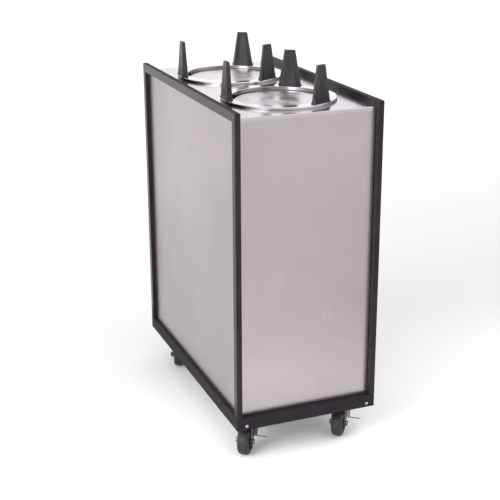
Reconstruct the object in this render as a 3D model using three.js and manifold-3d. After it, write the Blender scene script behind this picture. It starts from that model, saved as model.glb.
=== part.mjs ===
// A plate dispenser cart: an enclosed cabinet on four swivel casters that holds two sprung wells for plates.
// Units are millimetres with +Z up. The origin is on the floor under the middle of the cabinet.
// +X runs to the right across the narrow side and +Y runs to the rear along the long side.

import * as THREE from 'three';
import { mergeVertices } from 'three/addons/utils/BufferGeometryUtils.js';
import Module from 'manifold-3d';

const wasm = await Module();
wasm.setup();

// ---------------------------------------------------------------- driving dimensions

// Cabinet outline, over the black trim
const bodyWidth = 410;
const bodyLength = 780;
const casterHeight = 102;
const trimHeight = 864;
const cornerRadius = 3;

// Clearance where one piece rests on another, meets it or passes through it
const seatGap = 0.3;

// Black trim: corner posts, top rails and the base frame
const trimWall = 1.2;
const postWidth = 15;
const postDepth = 22;
const topRailHeight = 24;
const trimEdgeRadius = 2;
const baseRailHeight = 34;
const baseRailDepth = 36;

// Stainless sheet: panels, deck and base pan
const sheet = 1;
const panelReturn = 12;
const endPanelRecess = 19;
const deckDrop = 17;
const deckLip = 10;
const deckBend = 2.5;
const deckUpstand = 11;
const panSheet = 1.2;
const panUpstand = 24;

// Bolts through the end rails of the base frame
const boltRadius = 3;
const boltHeadRadius = 4.5;
const boltHeadHeight = 3.5;
const boltInset = 26;
const boltRise = 13;
const boltGrip = 7;

// Plate wells
const wellSpacing = 360;
const wellRadius = 125;
const bezelWidth = 30;
const bezelHeight = 7;
const bezelSheet = 1.2;
const bezelEdge = 2.5;
const collarDepth = 14;
const siloFlangeWidth = 24;
const siloFloorGap = 48;
const siloFootBand = 32;

// Plate carrier: a dished disc on a column with three arms
const carrierDrop = 10;
const carrierClearance = 5;
const carrierSheet = 1.5;
const carrierRim = 9;
const carrierEdge = 6;
const headRadius = 60;
const headThickness = 2.5;
const columnRadius = 16;
const columnLength = 190;
const armWidth = 12;
const armHeight = 16;
const armOverhang = 8;
const armAngles = [0, 120, 240];
const slotMargin = 4;

// Extension springs between the silo flange and the arms
const springRadius = 7;
const springHookRadius = 1.5;
const springHookLength = 14;
const springSideGap = 6.5;

// Plate guides that stand on the bezel
const guideSetback = 17;
const guideAngles = [175, 55, -65];
const guideHeight = 98;
const guideBaseWidth = 66;
const guideBaseInnerWidth = 43;
const guideBaseDepth = 19;
const guideTopWidth = 32;
const guideTopDepth = 10;
const guideCorner = 4;
const guideChamfer = 4;
const guideFootHeight = 3;
const guideFootMargin = 1.5;

// Casters
const casterInsetX = 63;
const casterInsetY = 80;
const casterYaws = { front: 38, rear: 17 };
const plateWidth = 64;
const plateLength = 92;
const plateThickness = 2.5;
const plateCorner = 6;
const nutRadius = 6.5;
const nutHeight = 5;
const nutInset = 9;
const racewayRadius = 24;
const racewayEdge = 2;
const crownBottom = 88;
const crownThickness = 4;
const forkWall = 3;
const forkFront = 20;
const forkRear = 26;
const forkCorner = 3;
const forkNeckRadius = 6;
const forkFootRadius = 8;
const axleBossRadius = 11;
const wheelRadius = 38;
const wheelWidth = 32;
const wheelShoulder = 6;
const hubRadius = 24;
const hubRecess = 5;
const hubBossRadius = 9;
const hubProud = 1.5;
const hubSideGap = 0.5;
const trail = 30;
const axleRadius = 4;
const axleHeadRadius = 7;
const axleHeadHeight = 5;

// Foot brake on the two front casters
const brakePivotAngle = 40;
const brakePivotLift = 10;
const brakeShaftRadius = 3.5;
const brakeLobeOffset = 7;
const brakeLobeRadius = 3;
const brakeLobeAngle = 170;
const brakeArmThickness = 2.5;
const brakeArmWidth = 16;
const brakeArmCorner = 5;
const brakeSideGap = 3.5;
const brakeCamGap = 2;
const pedalHeight = 49;
const pedalReach = 30;
const pedalLength = 22;
const pedalBack = 16;
const pedalTilt = 25;
const pedalCorner = 2;

// Facets of round shapes
const wellSides = 40;
const wheelSides = 24;
const smallSides = 12;
const hexSides = 6;

// ---------------------------------------------------------------- derived places

const halfWidth = bodyWidth / 2;
const halfLength = bodyLength / 2;
const trimTop = casterHeight + trimHeight;
const baseTop = casterHeight + baseRailHeight;
const deckTop = trimTop - deckDrop;
const deckUnder = deckTop - sheet;
const postInnerX = halfWidth - postWidth;
const postInnerY = halfLength - postDepth;

// The deck's upstand and the side panel's top edge both stand inside the hollow top rail.
const upstandInner = postInnerX + trimWall + seatGap;
const upstandOuter = upstandInner + sheet;
const sidePanelInner = upstandOuter + seatGap;
const sidePanelOuter = sidePanelInner + sheet;
const endPanelOuter = halfLength - endPanelRecess;

const bezelTop = deckTop + seatGap + bezelHeight;
const bezelRadius = wellRadius + bezelWidth;
const collarRadius = wellRadius + bezelSheet;
const siloRadius = collarRadius + seatGap;
const siloTop = deckUnder - seatGap;
const siloBottom = casterHeight + siloFloorGap;
const springCircle = siloRadius + sheet + springSideGap + springRadius;
const guideCircle = wellRadius + guideSetback;

const carrierTop = bezelTop - carrierDrop;
const carrierRadius = wellRadius - carrierClearance;
const headTop = carrierTop - carrierSheet - seatGap;
const armTop = headTop - headThickness - columnLength;
const armBottom = armTop - armHeight;
const armReach = springCircle + armOverhang;

// The arms stop on the closed band at the foot of the silo, where the slots end.
const carrierTravel = armBottom - slotMargin - siloFootBand - siloBottom;

const plateTop = casterHeight - seatGap;
const plateBottom = plateTop - plateThickness;
const crownTop = crownBottom + crownThickness;
const hubWidth = wheelWidth + 2 * hubProud;
const forkInner = hubWidth / 2 + hubSideGap;
const forkOuter = forkInner + forkWall;
const brakePivotReach = wheelRadius + brakePivotLift;
const brakeAngle = THREE.MathUtils.degToRad(brakePivotAngle);
const brakePivotY = brakePivotReach * Math.sin(brakeAngle) - trail;
const brakePivotZ = brakePivotReach * Math.cos(brakeAngle) + wheelRadius;

// ---------------------------------------------------------------- solids

/** Turns a closed geometry into a solid that can be joined and cut. */
function solid(geometry) {
  const bare = geometry.clone();
  bare.deleteAttribute('normal');
  bare.deleteAttribute('uv');
  const merged = mergeVertices(bare, 1e-4);
  const corners = [];
  for (let i = 0; i < merged.index.count; i += 3) {
    const triangle = [0, 1, 2].map((step) => merged.index.getX(i + step));
    if (new Set(triangle).size === 3) corners.push(...triangle);
  }
  const vertProperties = merged.attributes.position.array;
  const triVerts = new Uint32Array(corners);
  return new wasm.Manifold(new wasm.Mesh({ numProp: 3, vertProperties, triVerts }));
}

/** Gives a solid's surface back as a geometry. */
function surface(body) {
  const mesh = body.getMesh();
  const geometry = new THREE.BufferGeometry();
  geometry.setAttribute('position', new THREE.BufferAttribute(mesh.vertProperties, 3));
  geometry.setIndex(new THREE.BufferAttribute(mesh.triVerts, 1));
  geometry.computeVertexNormals();
  return geometry;
}

/** A box between two opposite corners, in either order. */
function block(from, to) {
  const size = to.map((value, axis) => Math.abs(value - from[axis]));
  const middle = to.map((value, axis) => (value + from[axis]) / 2);
  return solid(new THREE.BoxGeometry(...size).translate(...middle));
}

/** A shape extruded up from a height. */
function prism(shape, bottom, top) {
  const settings = { depth: top - bottom, bevelEnabled: false, curveSegments: 4 };
  return solid(new THREE.ExtrudeGeometry(shape, settings).translate(0, 0, bottom));
}

/** A section drawn in (Y, Z), extruded along X between two places. */
function prismAlongX(shape, from, to) {
  const settings = { depth: to - from, bevelEnabled: false, curveSegments: 4 };
  const geometry = new THREE.ExtrudeGeometry(shape, settings);
  return solid(geometry.rotateX(Math.PI / 2).rotateZ(Math.PI / 2).translate(from, 0, 0));
}

/** A section drawn in (X, Z), extruded along Y about the middle. */
function prismAlongY(shape, length) {
  const settings = { depth: length, bevelEnabled: false, curveSegments: 4 };
  const geometry = new THREE.ExtrudeGeometry(shape, settings);
  return solid(geometry.rotateX(Math.PI / 2).translate(0, length / 2, 0));
}

/** A profile of [radius, height] points turned about Z. It starts and ends on the axis, or is closed. */
function turned(profile, sides, firstFacet = 0) {
  const points = profile.map(([radius, height]) => new THREE.Vector2(radius, height));
  if (THREE.ShapeUtils.area(points) < 0) points.reverse();
  if (profile[0][0] > 0) points.push(points[0].clone());
  return solid(new THREE.LatheGeometry(points, sides, firstFacet).rotateX(Math.PI / 2));
}

/** A round bar along X, centred on a place in (Y, Z). Its corners lie on the radius. */
function barAlongX(radius, from, to, [y, z], sides = smallSides) {
  const geometry = new THREE.CylinderGeometry(radius, radius, to - from, sides);
  return solid(geometry.rotateZ(Math.PI / 2).translate((from + to) / 2, y, z));
}

/** The corner radius of a faceted hole whose flats stay one clearance off a bar. */
function holeRadius(barRadius, sides = smallSides) {
  return (barRadius + seatGap) / Math.cos(Math.PI / sides);
}

/** A closed shape through corners, each corner rounded by its own radius or by one radius for all. */
function roundedShape(corners, radius) {
  const shape = new THREE.Shape();
  corners.forEach(([x, y, own = radius], index) => {
    const here = new THREE.Vector2(x, y);
    const neighbour = (step) => {
      const [nx, ny] = corners[(index + step + corners.length) % corners.length];
      const away = new THREE.Vector2(nx, ny).sub(here);
      return here.clone().add(away.setLength(Math.min(own, away.length() * 0.49)));
    };
    const before = neighbour(-1);
    const after = neighbour(1);
    if (index === 0) shape.moveTo(before.x, before.y);
    else shape.lineTo(before.x, before.y);
    if (own > 0) shape.quadraticCurveTo(x, y, after.x, after.y);
  });
  shape.closePath();
  return shape;
}

/** A rectangle about a centre, with rounded corners. */
function rectangle(width, length, radius, [x, y] = [0, 0]) {
  const [w, l] = [width / 2, length / 2];
  return roundedShape([[x - w, y - l], [x + w, y - l], [x + w, y + l], [x - w, y + l]], radius);
}

// ---------------------------------------------------------------- finishes

const finishes = {
  brushedSteel: { color: 0xb9b0b4, roughness: 0.38, metalness: 1 },
  polishedSteel: { color: 0xd8d4d8, roughness: 0.15, metalness: 1 },
  innerSteel: { color: 0x9a9a9e, roughness: 0.5, metalness: 1 },
  blackTrim: { color: 0x2b282c, roughness: 0.35, metalness: 0 },
  blackPlastic: { color: 0x333336, roughness: 0.45, metalness: 0 },
  zincSteel: { color: 0x8d8c8b, roughness: 0.4, metalness: 1 },
  wheelRubber: { color: 0x2f302e, roughness: 0.7, metalness: 0 },
};

/** Adds one named piece, with a material of its own, to a group. */
function piece(group, name, body, finish) {
  const mesh = new THREE.Mesh(surface(body), new THREE.MeshStandardMaterial(finishes[finish]));
  mesh.name = name;
  group.add(mesh);
  return mesh;
}

const group = new THREE.Group();

// ---------------------------------------------------------------- black trim

const outline = prism(rectangle(bodyWidth, bodyLength, cornerRadius), 0, trimTop + 1);

/** A hollow corner post that stands on the base frame under the end of a top rail. */
function cornerPost(signX, signY) {
  const [bottom, top] = [baseTop + seatGap, trimTop - topRailHeight - seatGap];
  const shell = block(
    [signX * postInnerX, signY * postInnerY, bottom],
    [signX * halfWidth, signY * halfLength, top],
  );
  const bore = block(
    [signX * (postInnerX + trimWall), signY * (postInnerY + trimWall), bottom - 1],
    [signX * (halfWidth - trimWall), signY * (halfLength - trimWall), top + 1],
  );
  return shell.intersect(outline).subtract(bore);
}

/** The right-hand top rail: a folded channel over the deck's upstand, with a plug over each post. */
function topRail() {
  const bottom = trimTop - topRailHeight;
  const innerLegEnd = deckTop + seatGap;
  const lipEnd = sidePanelOuter + seatGap;
  const section = roundedShape([
    [halfWidth, bottom],
    [halfWidth, trimTop, trimEdgeRadius],
    [postInnerX, trimTop, trimEdgeRadius],
    [postInnerX, innerLegEnd],
    [postInnerX + trimWall, innerLegEnd],
    [postInnerX + trimWall, trimTop - trimWall],
    [halfWidth - trimWall, trimTop - trimWall],
    [halfWidth - trimWall, bottom + trimWall],
    [lipEnd, bottom + trimWall],
    [lipEnd, bottom],
  ], 0);
  const plugSection = roundedShape([
    [halfWidth, bottom],
    [halfWidth, trimTop, trimEdgeRadius],
    [postInnerX, trimTop, trimEdgeRadius],
    [postInnerX, bottom],
  ], 0);
  const clearOfDeck = postInnerY + seatGap;
  const ends = prismAlongY(plugSection, bodyLength).subtract(
    block([0, -clearOfDeck, bottom - 1], [bodyWidth, clearOfDeck, trimTop + 1]),
  );
  return prismAlongY(section, bodyLength).add(ends).intersect(outline);
}

/** A folded angle of the base frame: a web down its outer face and a ledge that the panels stand on. */
function baseRail(length, bolted) {
  const section = roundedShape([
    [0, casterHeight],
    [trimWall, casterHeight],
    [trimWall, baseTop - trimWall],
    [baseRailDepth, baseTop - trimWall],
    [baseRailDepth, baseTop],
    [0, baseTop, trimEdgeRadius],
  ], 0);
  const end = length / 2 - seatGap / Math.SQRT2;
  const mitre = roundedShape([
    [-end, 0], [end, 0], [end - 2 * baseRailDepth, 2 * baseRailDepth],
    [2 * baseRailDepth - end, 2 * baseRailDepth],
  ], 0);
  const corners = rectangle(length, length, cornerRadius, [0, length / 2]);
  let rail = prismAlongX(section, -length / 2, length / 2)
    .intersect(prism(mitre, casterHeight - 1, baseTop + 1))
    .intersect(prism(corners, casterHeight - 1, baseTop + 1));
  if (bolted) {
    for (const hole of boltHoles(length)) rail = rail.subtract(hole);
  }
  return rail;
}

/** The two bolt holes near the ends of an end rail whose outer face is at Y = 0. */
function boltHoles(length) {
  const radius = holeRadius(boltRadius);
  return [-1, 1].map((side) => {
    const hole = new THREE.CylinderGeometry(radius, radius, 2 * boltGrip, smallSides);
    return solid(hole.translate(side * (length / 2 - boltInset), 0, casterHeight + boltRise));
  });
}

/** A round-headed bolt whose head sits on the plane Y = 0 and faces -Y. */
function railBolt() {
  const dome = boltHeadHeight * 0.6;
  return turned([
    [0, seatGap + boltHeadHeight],
    [boltHeadRadius * 0.6, seatGap + boltHeadHeight],
    [boltHeadRadius, seatGap + boltHeadHeight - dome],
    [boltHeadRadius, seatGap],
    [boltRadius, seatGap],
    [boltRadius, -boltGrip],
    [0, -boltGrip],
  ], smallSides).rotate([90, 0, 0]);
}

for (const [end, signY] of [['front', -1], ['rear', 1]]) {
  for (const [side, signX] of [['left', -1], ['right', 1]]) {
    piece(group, `corner_post_${end}_${side}`, cornerPost(signX, signY), 'blackTrim');
  }
}

for (const [side, turn] of [['right', 0], ['left', Math.PI]]) {
  piece(group, `top_rail_${side}`, topRail(), 'blackTrim').rotation.z = turn;
}

const baseRails = [
  { name: 'base_rail_front', turn: 0, place: [0, -halfLength, 0], length: bodyWidth, bolted: true },
  { name: 'base_rail_right', turn: Math.PI / 2, place: [halfWidth, 0, 0], length: bodyLength },
  { name: 'base_rail_rear', turn: Math.PI, place: [0, halfLength, 0], length: bodyWidth, bolted: true },
  { name: 'base_rail_left', turn: -Math.PI / 2, place: [-halfWidth, 0, 0], length: bodyLength },
];
for (const { name, turn, place, length, bolted = false } of baseRails) {
  const rail = piece(group, name, baseRail(length, bolted), 'blackTrim');
  rail.rotation.z = turn;
  rail.position.set(...place);
}

for (const [end, signY] of [['front', -1], ['rear', 1]]) {
  for (const [side, signX] of [['left', -1], ['right', 1]]) {
    const bolt = piece(group, `rail_bolt_${end}_${side}`, railBolt(), 'zincSteel');
    bolt.rotation.z = signY < 0 ? 0 : Math.PI;
    bolt.position.set(signX * (halfWidth - boltInset), signY * halfLength, casterHeight + boltRise);
  }
}

// ---------------------------------------------------------------- stainless sheet

/**
 * A panel with its outer face at Y = 0, facing -Y. Its bottom edge is folded inwards, and so are its side
 * edges up to the underside of the deck. The face alone can stand higher.
 */
function foldedPanel({ width, fold, top }) {
  const half = width / 2;
  const bottom = baseTop + seatGap;
  const foldTop = Math.min(top, deckUnder - seatGap);
  const outer = block([-half, 0, bottom], [half, fold, foldTop]);
  const inner = block([sheet - half, sheet, bottom + sheet], [half - sheet, fold + 1, foldTop + 1]);
  return outer.subtract(inner).add(block([-half, 0, bottom], [half, sheet, top]));
}

// The end panels fold back between the posts. The side panels' folds stay behind the posts, clear of them.
const endPanel = {
  width: 2 * (postInnerX - seatGap),
  fold: panelReturn,
  top: deckTop - deckBend - seatGap,
};
const sidePanel = {
  width: 2 * (postInnerY - seatGap),
  fold: sidePanelOuter - postInnerX,
  top: deckTop + deckUpstand,
};
const panels = [
  { name: 'end_panel_front', form: endPanel, turn: 0, place: [0, -endPanelOuter, 0] },
  { name: 'side_panel_right', form: sidePanel, turn: Math.PI / 2, place: [sidePanelOuter, 0, 0] },
  { name: 'end_panel_rear', form: endPanel, turn: Math.PI, place: [0, endPanelOuter, 0] },
  { name: 'side_panel_left', form: sidePanel, turn: -Math.PI / 2, place: [-sidePanelOuter, 0, 0] },
];
for (const { name, form, turn, place } of panels) {
  const panel = piece(group, name, foldedPanel(form), 'brushedSteel');
  panel.rotation.z = turn;
  panel.position.set(...place);
}

/** The deck: ends folded down over the end panels, sides folded up into the top rails, two cut-outs. */
function deck() {
  const lipOuter = endPanelOuter + seatGap + sheet;
  const lipInner = lipOuter - sheet;
  const lipBottom = deckTop - deckLip;
  const section = roundedShape([
    [-lipOuter, lipBottom],
    [-lipInner, lipBottom],
    [-lipInner, deckUnder, deckBend - sheet],
    [lipInner, deckUnder, deckBend - sheet],
    [lipInner, lipBottom],
    [lipOuter, lipBottom],
    [lipOuter, deckTop, deckBend],
    [-lipOuter, deckTop, deckBend],
  ], 0);
  const betweenPosts = postInnerX - seatGap;
  const alongside = postInnerY - seatGap;
  let body = prismAlongX(section, -betweenPosts, betweenPosts).add(
    block([-upstandOuter, -alongside, deckUnder], [upstandOuter, alongside, deckTop]),
  );
  for (const side of [-1, 1]) {
    body = body.add(block(
      [side * upstandInner, -alongside, deckUnder],
      [side * upstandOuter, alongside, deckTop + deckUpstand],
    ));
    const cutOut = new THREE.CylinderGeometry(siloRadius, siloRadius, 4 * sheet, wellSides);
    cutOut.rotateX(Math.PI / 2).translate(0, side * wellSpacing / 2, deckTop);
    body = body.subtract(solid(cutOut));
  }
  return body;
}

/** The base pan that the casters bolt to: a tray with upstands inside the base frame. */
function basePan() {
  const [x, y] = [halfWidth - trimWall - seatGap, halfLength - trimWall - seatGap];
  let body = block([-x, -y, casterHeight], [x, y, casterHeight + panUpstand]).subtract(
    block(
      [panSheet - x, panSheet - y, casterHeight + panSheet],
      [x - panSheet, y - panSheet, casterHeight + panUpstand + 1],
    ),
  );
  for (const side of [-1, 1]) {
    for (const hole of boltHoles(bodyWidth)) {
      body = body.subtract(hole.translate([0, side * halfLength, 0]));
    }
  }
  return body;
}

piece(group, 'top_deck', deck(), 'brushedSteel');
piece(group, 'base_pan', basePan(), 'innerSteel');

// ---------------------------------------------------------------- plate wells

/** The pressed bezel that rims a well, with a collar down through the deck. */
function bezel() {
  const [bottom, top] = [deckTop + seatGap, bezelTop];
  const collarEnd = bottom - collarDepth;
  const outer = [
    [wellRadius, collarEnd],
    [wellRadius, top - bezelEdge],
    [wellRadius + bezelEdge * 0.3, top - bezelEdge * 0.3],
    [wellRadius + bezelEdge, top],
    [bezelRadius - bezelEdge, top],
    [bezelRadius - bezelEdge * 0.3, top - bezelEdge * 0.3],
    [bezelRadius, top - bezelEdge],
    [bezelRadius, bottom],
  ];
  const inner = [
    [bezelRadius - bezelSheet, bottom],
    [bezelRadius - bezelSheet, top - bezelEdge],
    [bezelRadius - bezelEdge, top - bezelSheet],
    [wellRadius + bezelEdge, top - bezelSheet],
    [collarRadius, top - bezelEdge],
    [collarRadius, collarEnd],
  ];
  return turned([...outer, ...inner], wellSides);
}

/** The silo: a sheet tube that hangs from its flange under the deck, slotted for the carrier's arms. */
function silo() {
  const outer = siloRadius + sheet;
  const flange = siloRadius + siloFlangeWidth;
  let body = turned([
    [siloRadius, siloBottom],
    [outer, siloBottom],
    [outer, siloTop - sheet],
    [flange, siloTop - sheet],
    [flange, siloTop],
    [siloRadius, siloTop],
  ], wellSides);
  const halfSlot = armWidth / 2 + slotMargin;
  for (const angle of armAngles) {
    const slot = block(
      [siloRadius / 2, -halfSlot, armBottom - carrierTravel - slotMargin],
      [outer + slotMargin, halfSlot, armTop + slotMargin],
    );
    body = body.subtract(slot.rotate([0, 0, angle]));
  }
  return body;
}

/** The carrier disc that the plates stand on, with a rounded edge and a rolled-down rim. */
function carrierDisc() {
  const flat = carrierRadius - carrierEdge;
  const inside = carrierRadius - carrierSheet;
  const bend = (radius, reach) => [30, 60, 90].map((degrees) => {
    const angle = THREE.MathUtils.degToRad(degrees);
    const rise = carrierTop - carrierEdge + reach * Math.cos(angle);
    return [radius - reach + reach * Math.sin(angle), rise];
  });
  return turned([
    [0, carrierTop],
    [flat, carrierTop],
    ...bend(carrierRadius, carrierEdge),
    [carrierRadius, carrierTop - carrierRim],
    [inside, carrierTop - carrierRim],
    ...bend(inside, carrierEdge - carrierSheet).reverse(),
    [flat, carrierTop - carrierSheet],
    [0, carrierTop - carrierSheet],
  ], wellSides);
}

/** The carrier frame: a head under the disc, a column and three arms that reach out to the springs. */
function carrierFrame() {
  let body = turned([
    [0, headTop],
    [headRadius, headTop],
    [headRadius, headTop - headThickness],
    [columnRadius, headTop - headThickness],
    [columnRadius, armBottom],
    [0, armBottom],
  ], smallSides);
  for (const angle of armAngles) {
    const arm = block([0, -armWidth / 2, armBottom], [armReach, armWidth / 2, armTop]);
    body = body.add(arm.rotate([0, 0, angle]));
  }
  return body;
}

/** A close-wound extension spring with its hooks, drawn in from the silo flange to an arm. */
function spring() {
  const [bottom, top] = [armTop + seatGap, siloTop - sheet - seatGap];
  const taper = springHookLength + springRadius / 2;
  return turned([
    [0, bottom],
    [springHookRadius, bottom],
    [springHookRadius, bottom + springHookLength],
    [springRadius, bottom + taper],
    [springRadius, top - taper],
    [springHookRadius, top - springHookLength],
    [springHookRadius, top],
    [0, top],
  ], smallSides);
}

/** A plate guide: a tapering post with a wide outer face (+Y), bevelled flanks and a narrow inner face. */
function plateGuide() {
  const outline = (margin) => {
    const [outer, inner] = [guideBaseWidth / 2 + margin, guideBaseInnerWidth / 2 + margin];
    const depth = guideBaseDepth / 2 + margin;
    const corners = [[-inner, -depth], [inner, -depth], [outer, depth], [-outer, depth]];
    return roundedShape(corners, guideCorner);
  };
  const shrunk = (height, inset) => ({
    height,
    width: (guideTopWidth - 2 * inset) / guideBaseWidth,
    depth: (guideTopDepth - 2 * inset) / guideBaseDepth,
  });
  const levels = [
    { height: 0, width: 1, depth: 1 },
    shrunk(guideHeight - guideChamfer, 0),
    shrunk(guideHeight - guideChamfer * 0.3, guideChamfer * 0.15),
    shrunk(guideHeight, guideChamfer * 0.5),
  ];
  const steps = levels.length - 1;
  const settings = { depth: steps, steps, bevelEnabled: false, curveSegments: 2 };
  const geometry = new THREE.ExtrudeGeometry(outline(0), settings);
  const places = geometry.attributes.position;
  for (let i = 0; i < places.count; i += 1) {
    const level = levels[Math.round(places.getZ(i))];
    places.setXYZ(i, places.getX(i) * level.width, places.getY(i) * level.depth, level.height);
  }
  return solid(geometry).add(prism(outline(guideFootMargin), 0, guideFootHeight));
}

for (const [end, signY] of [['front', -1], ['rear', 1]]) {
  const well = new THREE.Group();
  well.position.y = signY * wellSpacing / 2;
  group.add(well);
  piece(well, `bezel_ring_${end}`, bezel(), 'polishedSteel');
  piece(well, `silo_${end}`, silo(), 'innerSteel');
  piece(well, `carrier_disc_${end}`, carrierDisc(), 'polishedSteel');
  piece(well, `carrier_frame_${end}`, carrierFrame(), 'innerSteel');
  armAngles.forEach((angle, index) => {
    const turn = THREE.MathUtils.degToRad(angle);
    const coil = piece(well, `spring_${end}_${index + 1}`, spring(), 'zincSteel');
    coil.position.set(springCircle * Math.cos(turn), springCircle * Math.sin(turn), 0);
  });
  guideAngles.forEach((angle, index) => {
    const turn = THREE.MathUtils.degToRad(angle);
    const guide = piece(well, `plate_guide_${end}_${index + 1}`, plateGuide(), 'blackPlastic');
    guide.rotation.z = turn - Math.PI / 2;
    guide.position.set(guideCircle * Math.cos(turn), guideCircle * Math.sin(turn), bezelTop + seatGap);
  });
}

// ---------------------------------------------------------------- casters

/** The mounting plate, with the four nuts that hold it under the base pan. */
function casterPlate() {
  let body = prism(rectangle(plateWidth, plateLength, plateCorner), plateBottom, plateTop);
  const [x, y] = [plateWidth / 2 - nutInset, plateLength / 2 - nutInset];
  for (const place of [[-x, -y, 0], [x, -y, 0], [x, y, 0], [-x, y, 0]]) {
    const nut = turned([
      [0, plateBottom - nutHeight],
      [nutRadius, plateBottom - nutHeight],
      [nutRadius, plateBottom + plateThickness / 2],
      [0, plateBottom + plateThickness / 2],
    ], hexSides);
    body = body.add(nut.translate(place));
  }
  return body;
}

/** The swivelling fork: a raceway under the plate, a crown and two legs down to the axle. */
function casterFork(braked) {
  const raceway = turned([
    [0, crownBottom],
    [racewayRadius, crownBottom],
    [racewayRadius, plateBottom - seatGap - racewayEdge],
    [racewayRadius - racewayEdge, plateBottom - seatGap],
    [0, plateBottom - seatGap],
  ], wellSides / 2);
  const leg = roundedShape([
    [forkFront, crownTop],
    [-forkRear, crownTop],
    [-trail - axleBossRadius, wheelRadius + axleBossRadius / 2],
    [-trail - axleBossRadius, wheelRadius - axleBossRadius, forkFootRadius],
    [-trail + axleBossRadius, wheelRadius - axleBossRadius, forkFootRadius],
    [-trail + axleBossRadius, wheelRadius + axleBossRadius / 2, forkNeckRadius],
    [forkFront, crownBottom - 2 * crownThickness],
  ], forkCorner);
  let body = raceway.add(block([-forkOuter, -forkRear, crownBottom], [forkOuter, forkFront, crownTop]));
  body = body.add(prismAlongX(leg, forkInner, forkOuter)).add(prismAlongX(leg, -forkOuter, -forkInner));
  const reach = forkOuter + 1;
  body = body.subtract(barAlongX(holeRadius(axleRadius), -reach, reach, [-trail, wheelRadius]));
  if (braked) {
    const hole = holeRadius(brakeShaftRadius);
    body = body.subtract(barAlongX(hole, -reach, reach, [brakePivotY, brakePivotZ]));
  }
  return body;
}

/** The axle bolt, with a hexagon head on one side of the fork and a nut on the other. */
function casterAxle() {
  const face = forkOuter + seatGap;
  const centre = [-trail, wheelRadius];
  return barAlongX(axleRadius, -face, face, centre)
    .add(barAlongX(axleHeadRadius, -face - axleHeadHeight, -face, centre, hexSides))
    .add(barAlongX(axleHeadRadius, face, face + axleHeadHeight, centre, hexSides));
}

/** The wheel: a crowned tread, recessed sides and a hub boss, standing on one of its facets. */
function casterWheel() {
  const facet = 1 / Math.cos(Math.PI / wheelSides);
  const tread = wheelRadius * facet;
  const [half, hub] = [wheelWidth / 2, hubWidth / 2];
  const bore = holeRadius(axleRadius, wheelSides);
  const side = [
    [bore, hub],
    [hubBossRadius, hub],
    [hubBossRadius, half - hubRecess],
    [hubRadius, half - hubRecess],
    [hubRadius, half],
    [tread - wheelShoulder, half],
    [tread - wheelShoulder * 0.25, half - wheelShoulder * 0.4],
    [tread, half - wheelShoulder],
  ];
  const otherSide = side.map(([radius, place]) => [radius, -place]).reverse();
  const wheel = turned([...side, ...otherSide], wheelSides, Math.PI / wheelSides);
  return wheel.rotate([0, 90, 0]).translate([0, -trail, wheelRadius]);
}

/** The brake: a cam shaft through the fork, with an arm outside it that carries the tilted foot pedal. */
function casterBrake() {
  const pivot = [brakePivotY, brakePivotZ];
  const lobe = THREE.MathUtils.degToRad(brakeLobeAngle);
  const lobeCentre = [
    brakePivotY + brakeLobeOffset * Math.cos(lobe),
    brakePivotZ + brakeLobeOffset * Math.sin(lobe),
  ];
  const armInner = forkOuter + brakeSideGap;
  const armOuter = armInner + brakeArmThickness;
  const camHalf = forkInner - brakeCamGap;
  const half = brakeArmWidth / 2;
  const pedalY = brakePivotY - pedalBack;
  const tilt = THREE.MathUtils.degToRad(pedalTilt);
  const [reachY, rise] = [pedalLength / 2 * Math.cos(tilt), pedalLength / 2 * Math.sin(tilt)];
  const arm = roundedShape([
    [brakePivotY + half, brakePivotZ - half / 2],
    [brakePivotY + half, brakePivotZ + half],
    [brakePivotY - half, brakePivotZ + half],
    [pedalY - reachY, pedalHeight + rise, pedalCorner],
    [pedalY + reachY, pedalHeight - rise, pedalCorner],
  ], brakeArmCorner);
  const pedal = block(
    [armInner, -pedalLength / 2, 0],
    [armOuter + pedalReach, pedalLength / 2, brakeArmThickness],
  );
  const web = roundedShape([
    [brakePivotY, brakePivotZ - brakeShaftRadius],
    [brakePivotY, brakePivotZ + brakeShaftRadius],
    [lobeCentre[0], lobeCentre[1] + brakeLobeRadius],
    [lobeCentre[0], lobeCentre[1] - brakeLobeRadius],
  ], 0);
  return barAlongX(brakeShaftRadius, -forkOuter - seatGap, armOuter, pivot)
    .add(prismAlongX(web, -camHalf, camHalf))
    .add(barAlongX(brakeLobeRadius, -camHalf, camHalf, lobeCentre))
    .add(prismAlongX(arm, armInner, armOuter))
    .add(pedal.rotate([-pedalTilt, 0, 0]).translate([0, pedalY, pedalHeight]));
}

for (const [end, signY] of [['front', -1], ['rear', 1]]) {
  for (const [side, signX] of [['left', -1], ['right', 1]]) {
    const place = [signX * (halfWidth - casterInsetX), signY * (halfLength - casterInsetY), 0];
    const braked = end === 'front';
    piece(group, `caster_plate_${end}_${side}`, casterPlate(), 'zincSteel').position.set(...place);
    const swivel = new THREE.Group();
    swivel.position.set(...place);
    swivel.rotation.z = -THREE.MathUtils.degToRad(casterYaws[end]);
    group.add(swivel);
    piece(swivel, `caster_fork_${end}_${side}`, casterFork(braked), 'zincSteel');
    piece(swivel, `caster_axle_${end}_${side}`, casterAxle(), 'zincSteel');
    piece(swivel, `caster_wheel_${end}_${side}`, casterWheel(), 'wheelRubber');
    if (braked) piece(swivel, `caster_brake_${end}_${side}`, casterBrake(), 'zincSteel');
  }
}

export default group;
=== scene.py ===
"""A plate dispenser cart: brushed steel cabinet, black trim, two sprung plate wells and four casters.

Lengths are in metres. X runs across the narrow side, Y along the cabinet towards its rear end and Z up.
Each sub-assembly is a class that models its pieces over the cart's solids and gives them their finish.
"""

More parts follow.
